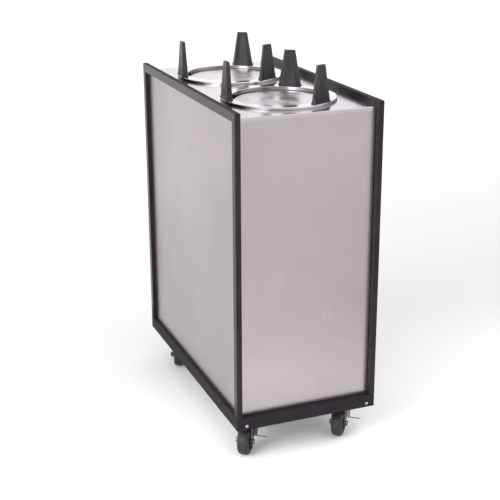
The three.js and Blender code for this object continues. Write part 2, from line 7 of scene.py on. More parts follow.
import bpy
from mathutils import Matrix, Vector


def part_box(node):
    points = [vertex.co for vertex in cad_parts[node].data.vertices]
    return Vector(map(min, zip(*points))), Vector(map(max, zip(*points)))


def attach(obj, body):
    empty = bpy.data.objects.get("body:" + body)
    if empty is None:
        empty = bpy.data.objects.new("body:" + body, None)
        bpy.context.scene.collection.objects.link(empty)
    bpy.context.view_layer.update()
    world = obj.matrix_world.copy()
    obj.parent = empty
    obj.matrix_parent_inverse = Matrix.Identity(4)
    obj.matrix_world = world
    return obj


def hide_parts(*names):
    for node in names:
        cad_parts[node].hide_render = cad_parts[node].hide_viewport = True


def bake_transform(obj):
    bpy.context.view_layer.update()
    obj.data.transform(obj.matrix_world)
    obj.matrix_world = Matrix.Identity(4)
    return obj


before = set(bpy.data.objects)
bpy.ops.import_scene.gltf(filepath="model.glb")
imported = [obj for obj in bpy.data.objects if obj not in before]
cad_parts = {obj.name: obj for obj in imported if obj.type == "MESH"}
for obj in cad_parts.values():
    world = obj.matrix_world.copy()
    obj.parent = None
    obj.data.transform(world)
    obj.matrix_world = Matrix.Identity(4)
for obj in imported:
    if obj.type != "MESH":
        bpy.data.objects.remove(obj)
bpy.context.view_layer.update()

import logging
from contextlib import contextmanager
from dataclasses import dataclass, field
from enum import Enum
from itertools import pairwise, product
from math import copysign, cos, pi, radians, sin, tan
from typing import Callable, Iterator, Sequence

import bmesh
import bpy
from mathutils import Matrix, Vector

log = logging.getLogger("plate_cart")

Object = bpy.types.Object
Socket = bpy.types.NodeSocket
Corner = tuple[float, float, float]
Test = Callable[[Vector, Vector], bool]

# Places closer together than this are one place.
CLOSE = 2e-5
# The gap between a piece and what it seats on.
SEAT = 3e-4
# The size of the plane that an outline starts from.
SEED_SIZE = 0.01
# Edges sharper than this, in degrees, are softened, and shading breaks at them.
SHARP = 35
# How much of a face's normal points the way that the face looks.
FACING = 0.9
# How much of a side the rounding of one of its corners may take.
CORNER_SHARE = 0.49
# How many edges or faces a rounded corner has.
CORNER_STEPS = 6
# How many faces go round a well.
ROUND_STEPS = 128
# The height of the deck's face above its lower edge.
DECK_LIP = 0.01
ENDS = {"front": -1, "rear": 1}
SIDES = {"left": -1, "right": 1}
CABINET = "cabinet"


class Slot(Enum):
    """The finishes of the cart, by their name in the cart's record."""

    TRIM = "black_trim"
    PANEL = "panel_steel"
    DECK = "deck_steel"
    POLISHED = "polished_steel"
    INNER = "inner_steel"
    SPRING = "spring_steel"
    PLASTIC = "guide_plastic"
    CASTER = "caster_steel"
    BOLT = "bolt_steel"
    RUBBER = "wheel_rubber"


class Axis(Enum):
    """An axis: the way that a brushed grain or an extrusion runs."""

    X = 0
    Y = 1
    Z = 2


# ---------------------------------------------------------------- modelling in edit mode


def focus(*objects: Object) -> None:
    """Select some objects and nothing else.

    Args:
        objects: The objects. The first one is made active.
    """
    bpy.ops.object.select_all(action="DESELECT")
    for obj in objects:
        obj.select_set(True)
    bpy.context.view_layer.objects.active = objects[0]


@contextmanager
def editing(obj: Object, kind: str = "FACE") -> Iterator[None]:
    """Edit one object by itself, with all of it selected.

    Args:
        obj: The mesh object to edit.
        kind: What is selected: VERT, EDGE or FACE.
    """
    focus(obj)
    bpy.ops.object.mode_set(mode="EDIT")
    bpy.ops.mesh.select_mode(type=kind)
    bpy.ops.mesh.select_all(action="SELECT")
    try:
        yield
    finally:
        bpy.ops.object.mode_set(mode="OBJECT")


def pick(obj: Object, test: Test, edges: bool = False) -> int:
    """Select, in edit mode, the faces or edges that pass a test.

    Args:
        obj: The object in edit mode.
        test: Says yes or no to a face's middle and normal, or to an edge's two ends.
        edges: Whether edges are tested. If not, faces are.

    Returns:
        How many are selected.
    """
    bpy.ops.mesh.select_all(action="DESELECT")
    mesh = bmesh.from_edit_mesh(obj.data)
    if edges:
        found = [edge for edge in mesh.edges if test(edge.verts[0].co, edge.verts[1].co)]
    else:
        found = [face for face in mesh.faces if test(face.calc_center_median(), face.normal)]
    for element in found:
        element.select_set(True)
    bmesh.update_edit_mesh(obj.data)
    return len(found)


def push(step: Sequence[float]) -> None:
    """Extrude what is selected by a step."""
    bpy.ops.mesh.extrude_region_move(TRANSFORM_OT_translate={"value": step})


def apply_modifier(obj: Object, kind: str, **settings: object) -> Object:
    """Add a modifier to an object and apply it.

    Args:
        obj: The object to change.
        kind: The modifier's type.
        settings: The modifier's own settings.

    Returns:
        The same object.
    """
    modifier = obj.modifiers.new(kind.title(), kind)
    for name, value in settings.items():
        setattr(modifier, name, value)
    focus(obj)
    bpy.ops.object.modifier_apply(modifier=modifier.name)
    return obj


def thicken(obj: Object, thickness: float) -> Object:
    """Give an open shell a wall inside its faces."""
    return apply_modifier(obj, "SOLIDIFY", thickness=thickness, offset=-1.0, use_even_offset=True)


def primitive(kind: str, name: str, **settings: object) -> Object:
    """Add a primitive by itself, to be shaped further, with its place in its mesh.

    Args:
        kind: The primitive: cube, plane, circle or cylinder.
        name: The new object's name.
        settings: The operator's own settings.

    Returns:
        The new object.
    """
    bpy.ops.object.select_all(action="DESELECT")
    getattr(bpy.ops.mesh, f"primitive_{kind}_add")(**settings)
    obj = bpy.context.object
    obj.name = name
    bpy.ops.object.transform_apply(location=True, rotation=True, scale=True)
    return obj


def add_box(name: str, low: Sequence[float], high: Sequence[float]) -> Object:
    """Add a cube primitive stretched between two opposite corners.

    Args:
        name: The new object's name.
        low: One corner.
        high: The opposite corner.

    Returns:
        The new object.
    """
    low, high = Vector(low), Vector(high)
    size = [abs(side) for side in high - low]
    return primitive("cube", name, size=1, location=(low + high) / 2, scale=size)


def trace(name: str, line: Sequence[Vector]) -> Object:
    """Draw a line of edges from one vertex, by extruding it from point to point.

    Args:
        name: The new object's name.
        line: The points of the line.

    Returns:
        The new object.
    """
    obj = primitive("plane", name, size=SEED_SIZE, location=line[0])
    with editing(obj, "VERT"):
        bpy.ops.mesh.merge(type="CENTER")
        for before, after in pairwise(line):
            push(after - before)
    return obj


def tidy_shell(obj: Object) -> Object:
    """Merge doubled vertices, then turn every face outwards.

    Args:
        obj: The object to tidy.

    Returns:
        The same object.
    """
    with editing(obj, "VERT"):
        bpy.ops.mesh.remove_doubles(threshold=CLOSE / 2)
        bpy.ops.mesh.normals_make_consistent(inside=False)
    return obj


def fillet(corners: Sequence[Corner], closed: bool = True, steps: int = CORNER_STEPS) -> list[Vector]:
    """Round the corners of an outline with true arcs.

    Args:
        corners: Each corner's two coordinates and its own radius.
        closed: Whether the last corner joins the first.
        steps: How many edges an arc has.

    Returns:
        The points of the rounded outline.
    """
    outline = []
    count = len(corners)
    for index, (x, y, radius) in enumerate(corners):
        here = Vector((x, y))
        if radius <= 0 or (not closed and index in (0, count - 1)):
            outline.append(here)
            continue
        back = Vector(corners[index - 1][:2]) - here
        ahead = Vector(corners[(index + 1) % count][:2]) - here
        half = back.angle(ahead) / 2
        longest = CORNER_SHARE * min(back.length, ahead.length)
        reach = min(radius / tan(half), longest)
        toward = (back.normalized() + ahead.normalized()).normalized()
        centre = here + toward * reach / cos(half)
        first = here + back.normalized() * reach - centre
        last = here + ahead.normalized() * reach - centre
        sweep = pi - 2 * half
        for step in range(steps + 1):
            part = step / steps
            spoke = (first * sin((1 - part) * sweep) + last * sin(part * sweep)) / sin(sweep)
            outline.append(centre + spoke)
    return outline


def mirrored(corners: Sequence[Corner]) -> list[Corner]:
    """The other half of a profile, from its last corner to its first."""
    return [(radius, -height, edge) for radius, height, edge in reversed(corners)]


def turn(name: str, corners: Sequence[Corner], steps: int, closed: bool = True, arc: int = 4) -> Object:
    """Spin a profile with rounded corners about the Z axis.

    Args:
        name: The new object's name.
        corners: Each corner's radius from the axis, its height and how far it is rounded.
        steps: How many faces go round.
        closed: Whether the profile closes on itself. If not, it starts and ends on the axis.
        arc: How many edges a rounded corner has.

    Returns:
        The new object.
    """
    line = [Vector((point.x, 0, point.y)) for point in fillet(corners, closed, arc)]
    if closed:
        line.append(line[0].copy())
    obj = trace(name, line)
    with editing(obj, "VERT"):
        bpy.ops.mesh.spin(steps=steps, angle=2 * pi, center=(0, 0, 0), axis=(0, 0, 1))
    return tidy_shell(obj)


def extrude(name: str, outline: Sequence[Vector], along: Vector) -> Object:
    """Fill a closed outline and extrude it.

    Args:
        name: The new object's name.
        outline: The corners of the outline, in space.
        along: How far, and which way, it is extruded.

    Returns:
        The new object.
    """
    obj = trace(name, [*outline, outline[0]])
    with editing(obj, "VERT"):
        bpy.ops.mesh.remove_doubles(threshold=CLOSE / 2)
        bpy.ops.mesh.edge_face_add()
        push(along)
    return tidy_shell(obj)


def slab(name: str, corners: Sequence[Corner], axis: Axis, start: float, end: float) -> Object:
    """Extrude an outline with rounded corners along an axis.

    Args:
        name: The new object's name.
        corners: Each corner's place along the two other axes and how far it is rounded.
        axis: The axis.
        start: Where the extrusion starts.
        end: Where it ends.

    Returns:
        The new object.
    """
    index = axis.value
    outline = [Vector((*point[:index], start, *point[index:])) for point in fillet(corners)]
    along = Vector((0, 0, 0))
    along[index] = end - start
    return extrude(name, outline, along)


def bevel(obj: Object, test: Test, width: float, segments: int = CORNER_STEPS) -> None:
    """Bevel the edges that pass a test.

    Args:
        obj: The object to bevel.
        test: Says yes or no to an edge's two ends.
        width: How far the bevel reaches from the edge.
        segments: How many faces cross the bevel.
    """
    with editing(obj, "EDGE"):
        if pick(obj, test, edges=True):
            bpy.ops.mesh.bevel(offset=width, offset_type="OFFSET", segments=segments, affect="EDGES")


def soften(obj: Object, width: float, angle: float = SHARP) -> Object:
    """Bevel every edge that is sharper than an angle.

    Args:
        obj: The object to soften.
        width: The bevel's width.
        angle: The least angle, in degrees, between the faces of a sharp edge.

    Returns:
        The same object.
    """
    settings = {"limit_method": "ANGLE", "angle_limit": radians(angle), "use_clamp_overlap": True}
    return apply_modifier(obj, "BEVEL", width=width, segments=2, **settings)


def combine(obj: Object, tool: Object, how: str) -> Object:
    """Join or cut an object with another, which is then removed.

    Args:
        obj: The object to change.
        tool: The object that joins or cuts it.
        how: UNION, DIFFERENCE or INTERSECT.

    Returns:
        The changed object.
    """
    apply_modifier(obj, "BOOLEAN", object=tool, operation=how, solver="EXACT")
    bpy.data.objects.remove(tool)
    return obj


def move(obj: Object, matrix: Matrix) -> Object:
    """Place an object's mesh, with the object left at the origin.

    Args:
        obj: The object to place.
        matrix: Where its mesh goes.

    Returns:
        The same object.
    """
    obj.data.transform(matrix)
    obj.data.update()
    return obj


def shift(x: float, y: float, z: float = 0) -> Matrix:
    """A move by three distances."""
    return Matrix.Translation((x, y, z))


def rotation(angle: float, axis: Axis = Axis.Z) -> Matrix:
    """A turn about an axis, by an angle in radians."""
    return Matrix.Rotation(angle, 4, axis.name)


def copy_of(obj: Object, name: str, matrix: Matrix) -> Object:
    """Copy an object with a mesh of its own, and place the copy.

    Args:
        obj: The object to copy.
        name: The copy's name.
        matrix: Where the copy's mesh goes.

    Returns:
        The copy.
    """
    copy = obj.copy()
    copy.data = obj.data.copy()
    copy.name = name
    bpy.context.scene.collection.objects.link(copy)
    return move(copy, matrix)


def join(first: Object, *others: Object) -> Object:
    """Join objects into one.

    Args:
        first: The object that keeps its name.
        others: The objects that become part of it.

    Returns:
        The first object.
    """
    focus(first, *others)
    bpy.ops.object.join()
    return first


def upright(x: float, y: float) -> Test:
    """A test for the upright edges at a distance from the middle, on any side.

    Args:
        x: Their distance along X.
        y: Their distance along Y.

    Returns:
        The test.
    """

    def test(one: Vector, two: Vector) -> bool:
        """Whether the edge is upright and at that place."""
        level = abs(one.x - two.x) < CLOSE and abs(one.y - two.y) < CLOSE
        return level and abs(abs(one.x) - x) < CLOSE and abs(abs(one.y) - y) < CLOSE

    return test


def at_height(z: float) -> Test:
    """A test for the level edges at a height."""
    return lambda one, two: abs(one.z - z) < CLOSE and abs(two.z - z) < CLOSE


@dataclass(frozen=True)
class Box:
    """The box round one solid of the cart."""

    low: Vector
    high: Vector

    @classmethod
    def of(cls, node: str) -> "Box":
        """The box of a named solid."""
        return cls(*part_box(node))

    @property
    def middle(self) -> Vector:
        """The middle of the box."""
        return (self.low + self.high) / 2

    @property
    def size(self) -> Vector:
        """The lengths of the box's sides."""
        return self.high - self.low


def well_middle(end: str) -> Vector:
    """The middle of the well at one end of the cart."""
    return Box.of(f"bezel_ring_{end}").middle


def deck_top() -> float:
    """The height of the deck's upper face."""
    return Box.of("top_deck").low.z + DECK_LIP


# ---------------------------------------------------------------- finishes


class Sheet:
    """A material and its node tree, with short ways to add and join nodes."""

    noise_roughness = 0.55

    def __init__(self, name: str) -> None:
        """Start a material with a Principled shader and the piece's own coordinates.

        Args:
            name: The material's name.
        """
        self.material = bpy.data.materials.new(name)
        self.material.use_nodes = True
        self.tree = self.material.node_tree
        self.shader = self.tree.nodes["Principled BSDF"]
        self.place = self.add("TexCoord").outputs["Object"]
        self.axes = self.add("SeparateXYZ", {"Vector": self.place}).outputs

    def add(self, kind: str, inputs: dict | None = None, **settings: object) -> bpy.types.Node:
        """Add a node.

        Args:
            kind: The node's type, without ShaderNode.
            inputs: Values or other nodes' outputs for its inputs.
            settings: The node's own settings.

        Returns:
            The node.
        """
        node = self.tree.nodes.new("ShaderNode" + kind)
        for name, value in settings.items():
            setattr(node, name, value)
        for name, value in (inputs or {}).items():
            if isinstance(value, Socket):
                self.tree.links.new(value, node.inputs[name])
            else:
                node.inputs[name].default_value = value
        return node

    def math(self, operation: str, *values: Socket | float) -> Socket:
        """The result of a sum on some values."""
        return self.add("Math", dict(enumerate(values)), operation=operation).outputs[0]

    def noise(self, stretch: Sequence[float], detail: float, offset: Corner = (0, 0, 0)) -> Socket:
        """Noise on the piece's own coordinates.

        Args:
            stretch: How many grains there are in a metre along each axis.
            detail: How many finer layers it has.
            offset: Where the noise starts, to tell one layer from another.

        Returns:
            The noise, from 0 to 1.
        """
        mapped = self.add("Mapping", {"Vector": self.place, "Scale": stretch, "Location": offset})
        inputs = {"Vector": mapped.outputs["Vector"], "Scale": 1.0, "Detail": detail}
        inputs["Roughness"] = self.noise_roughness
        return self.add("TexNoise", inputs).outputs["Fac"]

    def span(self, value: Socket, low: float, high: float, start: float = 0.3, end: float = 0.7) -> Socket:
        """Spread a value over a range.

        Args:
            value: The value to spread.
            low: The result at the start.
            high: The result at the end.
            start: The value at the start.
            end: The value at the end.

        Returns:
            The spread value.
        """
        inputs = {"Value": value, "From Min": start, "From Max": end, "To Min": low, "To Max": high}
        return self.add("MapRange", inputs).outputs["Result"]

    def blend(self, factor: Socket, one: Socket | Sequence[float], two: Sequence[float]) -> Socket:
        """Blend two colours.

        Args:
            factor: How much of the second colour there is.
            one: The first colour.
            two: The second colour.

        Returns:
            The blended colour.
        """
        colours = [one if isinstance(one, Socket) else (*one, 1), (*two, 1)]
        mix = self.add("Mix", {0: factor, 6: colours[0], 7: colours[1]}, data_type="RGBA")
        return mix.outputs[2]

    def ramp(self, value: Socket, tones: Sequence[tuple[float, float]], way: str = "LINEAR") -> Socket:
        """Greys that follow a value.

        Args:
            value: What they follow.
            tones: Pairs of a value and its grey.
            way: How one grey goes over into the next.

        Returns:
            The grey as a colour.
        """
        start, end = tones[0][0], tones[-1][0]
        node = self.add("ValToRGB", {"Fac": self.span(value, 0, 1, start, end)})
        node.color_ramp.interpolation = way
        while len(node.color_ramp.elements) < len(tones):
            node.color_ramp.elements.new(1.0)
        for stop, (place, tone) in zip(node.color_ramp.elements, tones):
            stop.position = (place - start) / (end - start)
            stop.color = (tone, tone, tone, 1)
        return node.outputs["Color"]

    def weigh(self, layers: Sequence[tuple[Socket, float]]) -> Socket:
        """Add several patterns together.

        Args:
            layers: Each pattern with its weight.

        Returns:
            Their sum.
        """
        total: Socket | float = 0.0
        for pattern, weight in layers:
            total = self.math("MULTIPLY_ADD", pattern, weight, total)
        return total

    def lead(self, **values: Socket) -> None:
        """Lead values to the shader, by socket name with _ for a space."""
        for name, value in values.items():
            self.tree.links.new(value, self.shader.inputs[name.replace("_", " ")])

    def bump(self, height: Socket, depth: float) -> None:
        """Lead a bump to the shader.

        Args:
            height: The pattern, from 0 to 1.
            depth: How deep the pattern is, in metres.
        """
        node = self.add("Bump", {"Height": height, "Distance": depth, "Strength": 1.0})
        self.lead(Normal=node.outputs["Normal"])

    def set(self, **values: float | Sequence[float]) -> None:
        """Set plain numbers on the shader, by socket name with _ for a space."""
        for name, value in values.items():
            self.shader.inputs[name.replace("_", " ")].default_value = value


@dataclass(frozen=True)
class BrushedSteel:
    """Stainless sheet with a fine grain, faint streaks and a cloudy tone."""

    name: str
    dark: Sequence[float]
    light: Sequence[float]
    grain: Axis = Axis.Z
    smooth: float = 0.27
    rough: float = 0.37
    across: float = 1500.0
    along: float = 12.0
    streak_width: float = 8.0
    streak_offset: Corner = (7, 3, 1)
    cloud: float = 2.6
    cloud_offset: Corner = (2, 5, 9)
    shares: tuple[float, float, float] = (0.16, 0.07, 0.77)
    contrast: tuple[float, float] = (0.36, 0.64)
    depth: float = 0.00001

    def make(self) -> bpy.types.Material:
        """Build the material. The shares are those of the grain, the streaks and the cloud.

        Returns:
            The material.
        """
        sheet = Sheet(self.name)
        stretch = [self.along if axis is self.grain else self.across for axis in Axis]
        grain = sheet.noise(stretch, 2)
        streak = sheet.noise([step / self.streak_width for step in stretch], 2, self.streak_offset)
        cloud = sheet.noise([self.cloud] * 3, 3, self.cloud_offset)
        tone = sheet.weigh(list(zip((grain, streak, cloud), self.shares)))
        sheet.lead(
            Base_Color=sheet.blend(sheet.span(tone, 0, 1, *self.contrast), self.dark, self.light),
            Roughness=sheet.span(grain, self.smooth, self.rough),
        )
        sheet.bump(grain, self.depth)
        sheet.set(Metallic=1.0)
        return sheet.material


@dataclass(frozen=True)
class SpunSteel:
    """Polished steel with fine rings round each well. The disc inside is duller than its ring."""

    name: str
    dark: Sequence[float]
    light: Sequence[float]
    well_spacing: float
    smooth: float = 0.08
    rough: float = 0.2
    rings: float = 1100.0
    cloud: float = 9.0
    cloud_offset: Corner = (4, 1, 6)
    smudge: float = 16.0
    smudge_offset: Corner = (1, 7, 3)
    smudge_range: tuple[float, float] = (0.42, 0.62)
    smudge_wear: float = 0.14
    disc_wear: float = 0.16
    disc_border: tuple[float, float] = (0.12, 0.122)
    # Greys by radius: the disc, then painted shade over the disc's rim and the collar's inner wall, then the
    # bright ring.
    tones: tuple[tuple[float, float], ...] = (
        (0, 0.88), (0.1203, 0.88), (0.1213, 0.4), (0.1258, 0.4), (0.1275, 1),
    )
    # The band of radii of the ring's outer wall, where a painted reflection darkens it towards both sides of
    # the cart.
    wall: tuple[float, float] = (0.1532, 0.1546)
    painted_reflection_dark: Sequence[float] = (0.035, 0.033, 0.036)
    anisotropy: float = 0.4
    depth: float = 0.000004

    def make(self) -> bpy.types.Material:
        """Build the material. A painted reflection darkens the ring's outer wall towards both sides of the
        cart, and painted shade darkens the gap between the disc and the collar.

        Returns:
            The material.
        """
        sheet = Sheet(self.name)
        across, along = sheet.axes["X"], sheet.math("ABSOLUTE", sheet.axes["Y"])
        along = sheet.math("SUBTRACT", along, self.well_spacing / 2)
        flat = sheet.add("CombineXYZ", {"X": across, "Y": along}).outputs["Vector"]
        radius = sheet.add("VectorMath", {0: flat}, operation="LENGTH").outputs["Value"]
        inputs = {"W": radius, "Scale": self.rings, "Detail": 3.0}
        rings = sheet.add("TexNoise", inputs, noise_dimensions="1D").outputs["Fac"]
        cloud = sheet.noise([self.cloud] * 3, 3, self.cloud_offset)
        smudge = sheet.noise([self.smudge] * 3, 4, self.smudge_offset)
        wear = sheet.span(radius, self.disc_wear, 0, *self.disc_border)
        dullness = sheet.span(smudge, 0, self.smudge_wear, *self.smudge_range)
        polish = sheet.span(rings, self.smooth, self.rough)
        colour = sheet.blend(sheet.span(cloud, 0, 1), self.dark, self.light)
        # The ramp lays painted shade in the gap between the disc and the collar.
        inputs = {0: colour, 1: sheet.ramp(radius, self.tones)}
        colour = sheet.add("VectorMath", inputs, operation="MULTIPLY").outputs["Vector"]
        # Painted reflection: the ring's outer wall is darkened, most at the cart's sides and not at all at
        # its ends.
        aside = sheet.math("ABSOLUTE", sheet.math("DIVIDE", across, radius))
        shade = sheet.math("MULTIPLY", aside, sheet.span(radius, 0, 1, *self.wall))
        tangent = sheet.add("Tangent", direction_type="RADIAL", axis="Z")
        sheet.lead(
            Base_Color=sheet.blend(shade, colour, self.painted_reflection_dark),
            Roughness=sheet.weigh(((wear, 1.0), (dullness, 1.0), (polish, 1.0))),
            Tangent=tangent.outputs["Tangent"],
        )
        sheet.bump(rings, self.depth)
        sheet.set(Metallic=1.0, Anisotropic=self.anisotropy)
        return sheet.material


@dataclass(frozen=True)
class Coated:
    """A coated, moulded or plated surface: a fine skin over a cloudy tone."""

    name: str
    dark: Sequence[float]
    light: Sequence[float]
    metal: float = 0.0
    smooth: float = 0.2
    rough: float = 0.35
    grain: float = 600.0
    cloud: float = 14.0
    cloud_offset: Corner = (3, 8, 2)
    depth: float = 0.00003
    stretch: Axis | None = None
    stretch_shares: tuple[float, float] = (20, 9)
    specular: float = 0.5
    tint: Sequence[float] = (1.0, 1.0, 1.0)
    wear: Sequence[tuple[float, float, float]] = ()

    def make(self) -> bpy.types.Material:
        """Build the material. The wear gives a start height, an end height and how much duller it gets.

        Returns:
            The material.
        """
        sheet = Sheet(self.name)
        grain_scale, cloud_scale = (
            [count / share if axis is self.stretch else count for axis in Axis]
            for count, share in zip((self.grain, self.cloud), self.stretch_shares)
        )
        grain = sheet.noise(grain_scale, 2)
        cloud = sheet.noise(cloud_scale, 4, self.cloud_offset)
        dullness = [(sheet.span(cloud, self.smooth, self.rough), 1.0)]
        dullness += [(sheet.span(sheet.axes["Z"], 0, 1, start, end), much) for start, end, much in self.wear]
        sheet.lead(
            Base_Color=sheet.blend(sheet.span(cloud, 0, 1), self.dark, self.light),
            Roughness=sheet.weigh(dullness),
        )
        sheet.bump(grain, self.depth)
        sheet.set(Metallic=self.metal, Specular_IOR_Level=self.specular, Specular_Tint=(*self.tint, 1.0))
        return sheet.material


@dataclass
class Workshop:
    """Holds the finishes, and hands each finished piece over to the cart."""

    well_spacing: float
    materials: dict[Slot, bpy.types.Material] = field(default_factory=dict)

    def mix(self) -> None:
        """Make every finish."""
        finishes = {
            Slot.TRIM: Coated(
                "gloss_black_trim", (0.007, 0.0062, 0.0075), (0.013, 0.0115, 0.0135), smooth=0.16, rough=0.26,
                grain=300, depth=0.00002, specular=0.24, tint=(0.96, 0.83, 1.0),
                wear=((0.19, 0.13, 0.55), (0.9652, 0.9658, 0.55)),
            ),
            Slot.PANEL: BrushedSteel("brushed_panel", (0.362, 0.327, 0.336), (0.418, 0.378, 0.388)),
            Slot.DECK: BrushedSteel(
                "brushed_deck", (0.395, 0.364, 0.396), (0.475, 0.44, 0.477), grain=Axis.X,
                smooth=0.14, rough=0.23,
            ),
            Slot.POLISHED: SpunSteel(
                "spun_steel", (0.58, 0.55, 0.575), (0.7, 0.67, 0.695), well_spacing=self.well_spacing,
            ),
            Slot.INNER: BrushedSteel(
                "mill_steel", (0.36, 0.36, 0.37), (0.5, 0.5, 0.51), smooth=0.35, rough=0.5,
            ),
            Slot.SPRING: Coated(
                "spring_wire", (0.3, 0.3, 0.3), (0.45, 0.45, 0.44), metal=1.0, smooth=0.25, rough=0.4,
                grain=900,
            ),
            Slot.PLASTIC: Coated(
                "moulded_guide", (0.0065, 0.006, 0.0074), (0.034, 0.0315, 0.037), smooth=0.28, rough=0.46,
                grain=1400, cloud=75, depth=0.00004, stretch=Axis.Z, specular=0.26,
            ),
            Slot.CASTER: Coated(
                "plated_caster", (0.055, 0.054, 0.053), (0.15, 0.148, 0.145), metal=1.0,
                smooth=0.24, rough=0.42, grain=500, cloud=60,
            ),
            Slot.BOLT: Coated(
                "plated_bolt", (0.3, 0.29, 0.3), (0.5, 0.49, 0.5), metal=1.0, smooth=0.16, rough=0.3,
                grain=900, cloud=120,
            ),
            Slot.RUBBER: Coated(
                "wheel_rubber", (0.014, 0.014, 0.013), (0.026, 0.027, 0.025), smooth=0.42, rough=0.6,
                grain=900, cloud=60, depth=0.00006, specular=0.3,
            ),
        }
        for slot, finish in finishes.items():
            self.materials[slot] = finish.make()

    def hand_over(self, obj: Object, body: str, slot: Slot, node: str) -> None:
        """Shade a finished piece, give it its finish and let it ride on its body.

        Args:
            obj: The finished piece.
            body: The body that it moves with.
            slot: Its finish.
            node: The solid that it stands for.
        """
        focus(obj)
        bpy.ops.object.shade_smooth_by_angle(angle=radians(SHARP))
        apply_modifier(obj, "WEIGHTED_NORMAL", keep_sharp=True)
        obj.data.materials.clear()
        obj.data.materials.append(self.materials[slot])
        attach(obj, body)
        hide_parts(node)
        log.info("%s: %d faces, rides on %s", obj.name, len(obj.data.polygons), body)


# ---------------------------------------------------------------- black trim


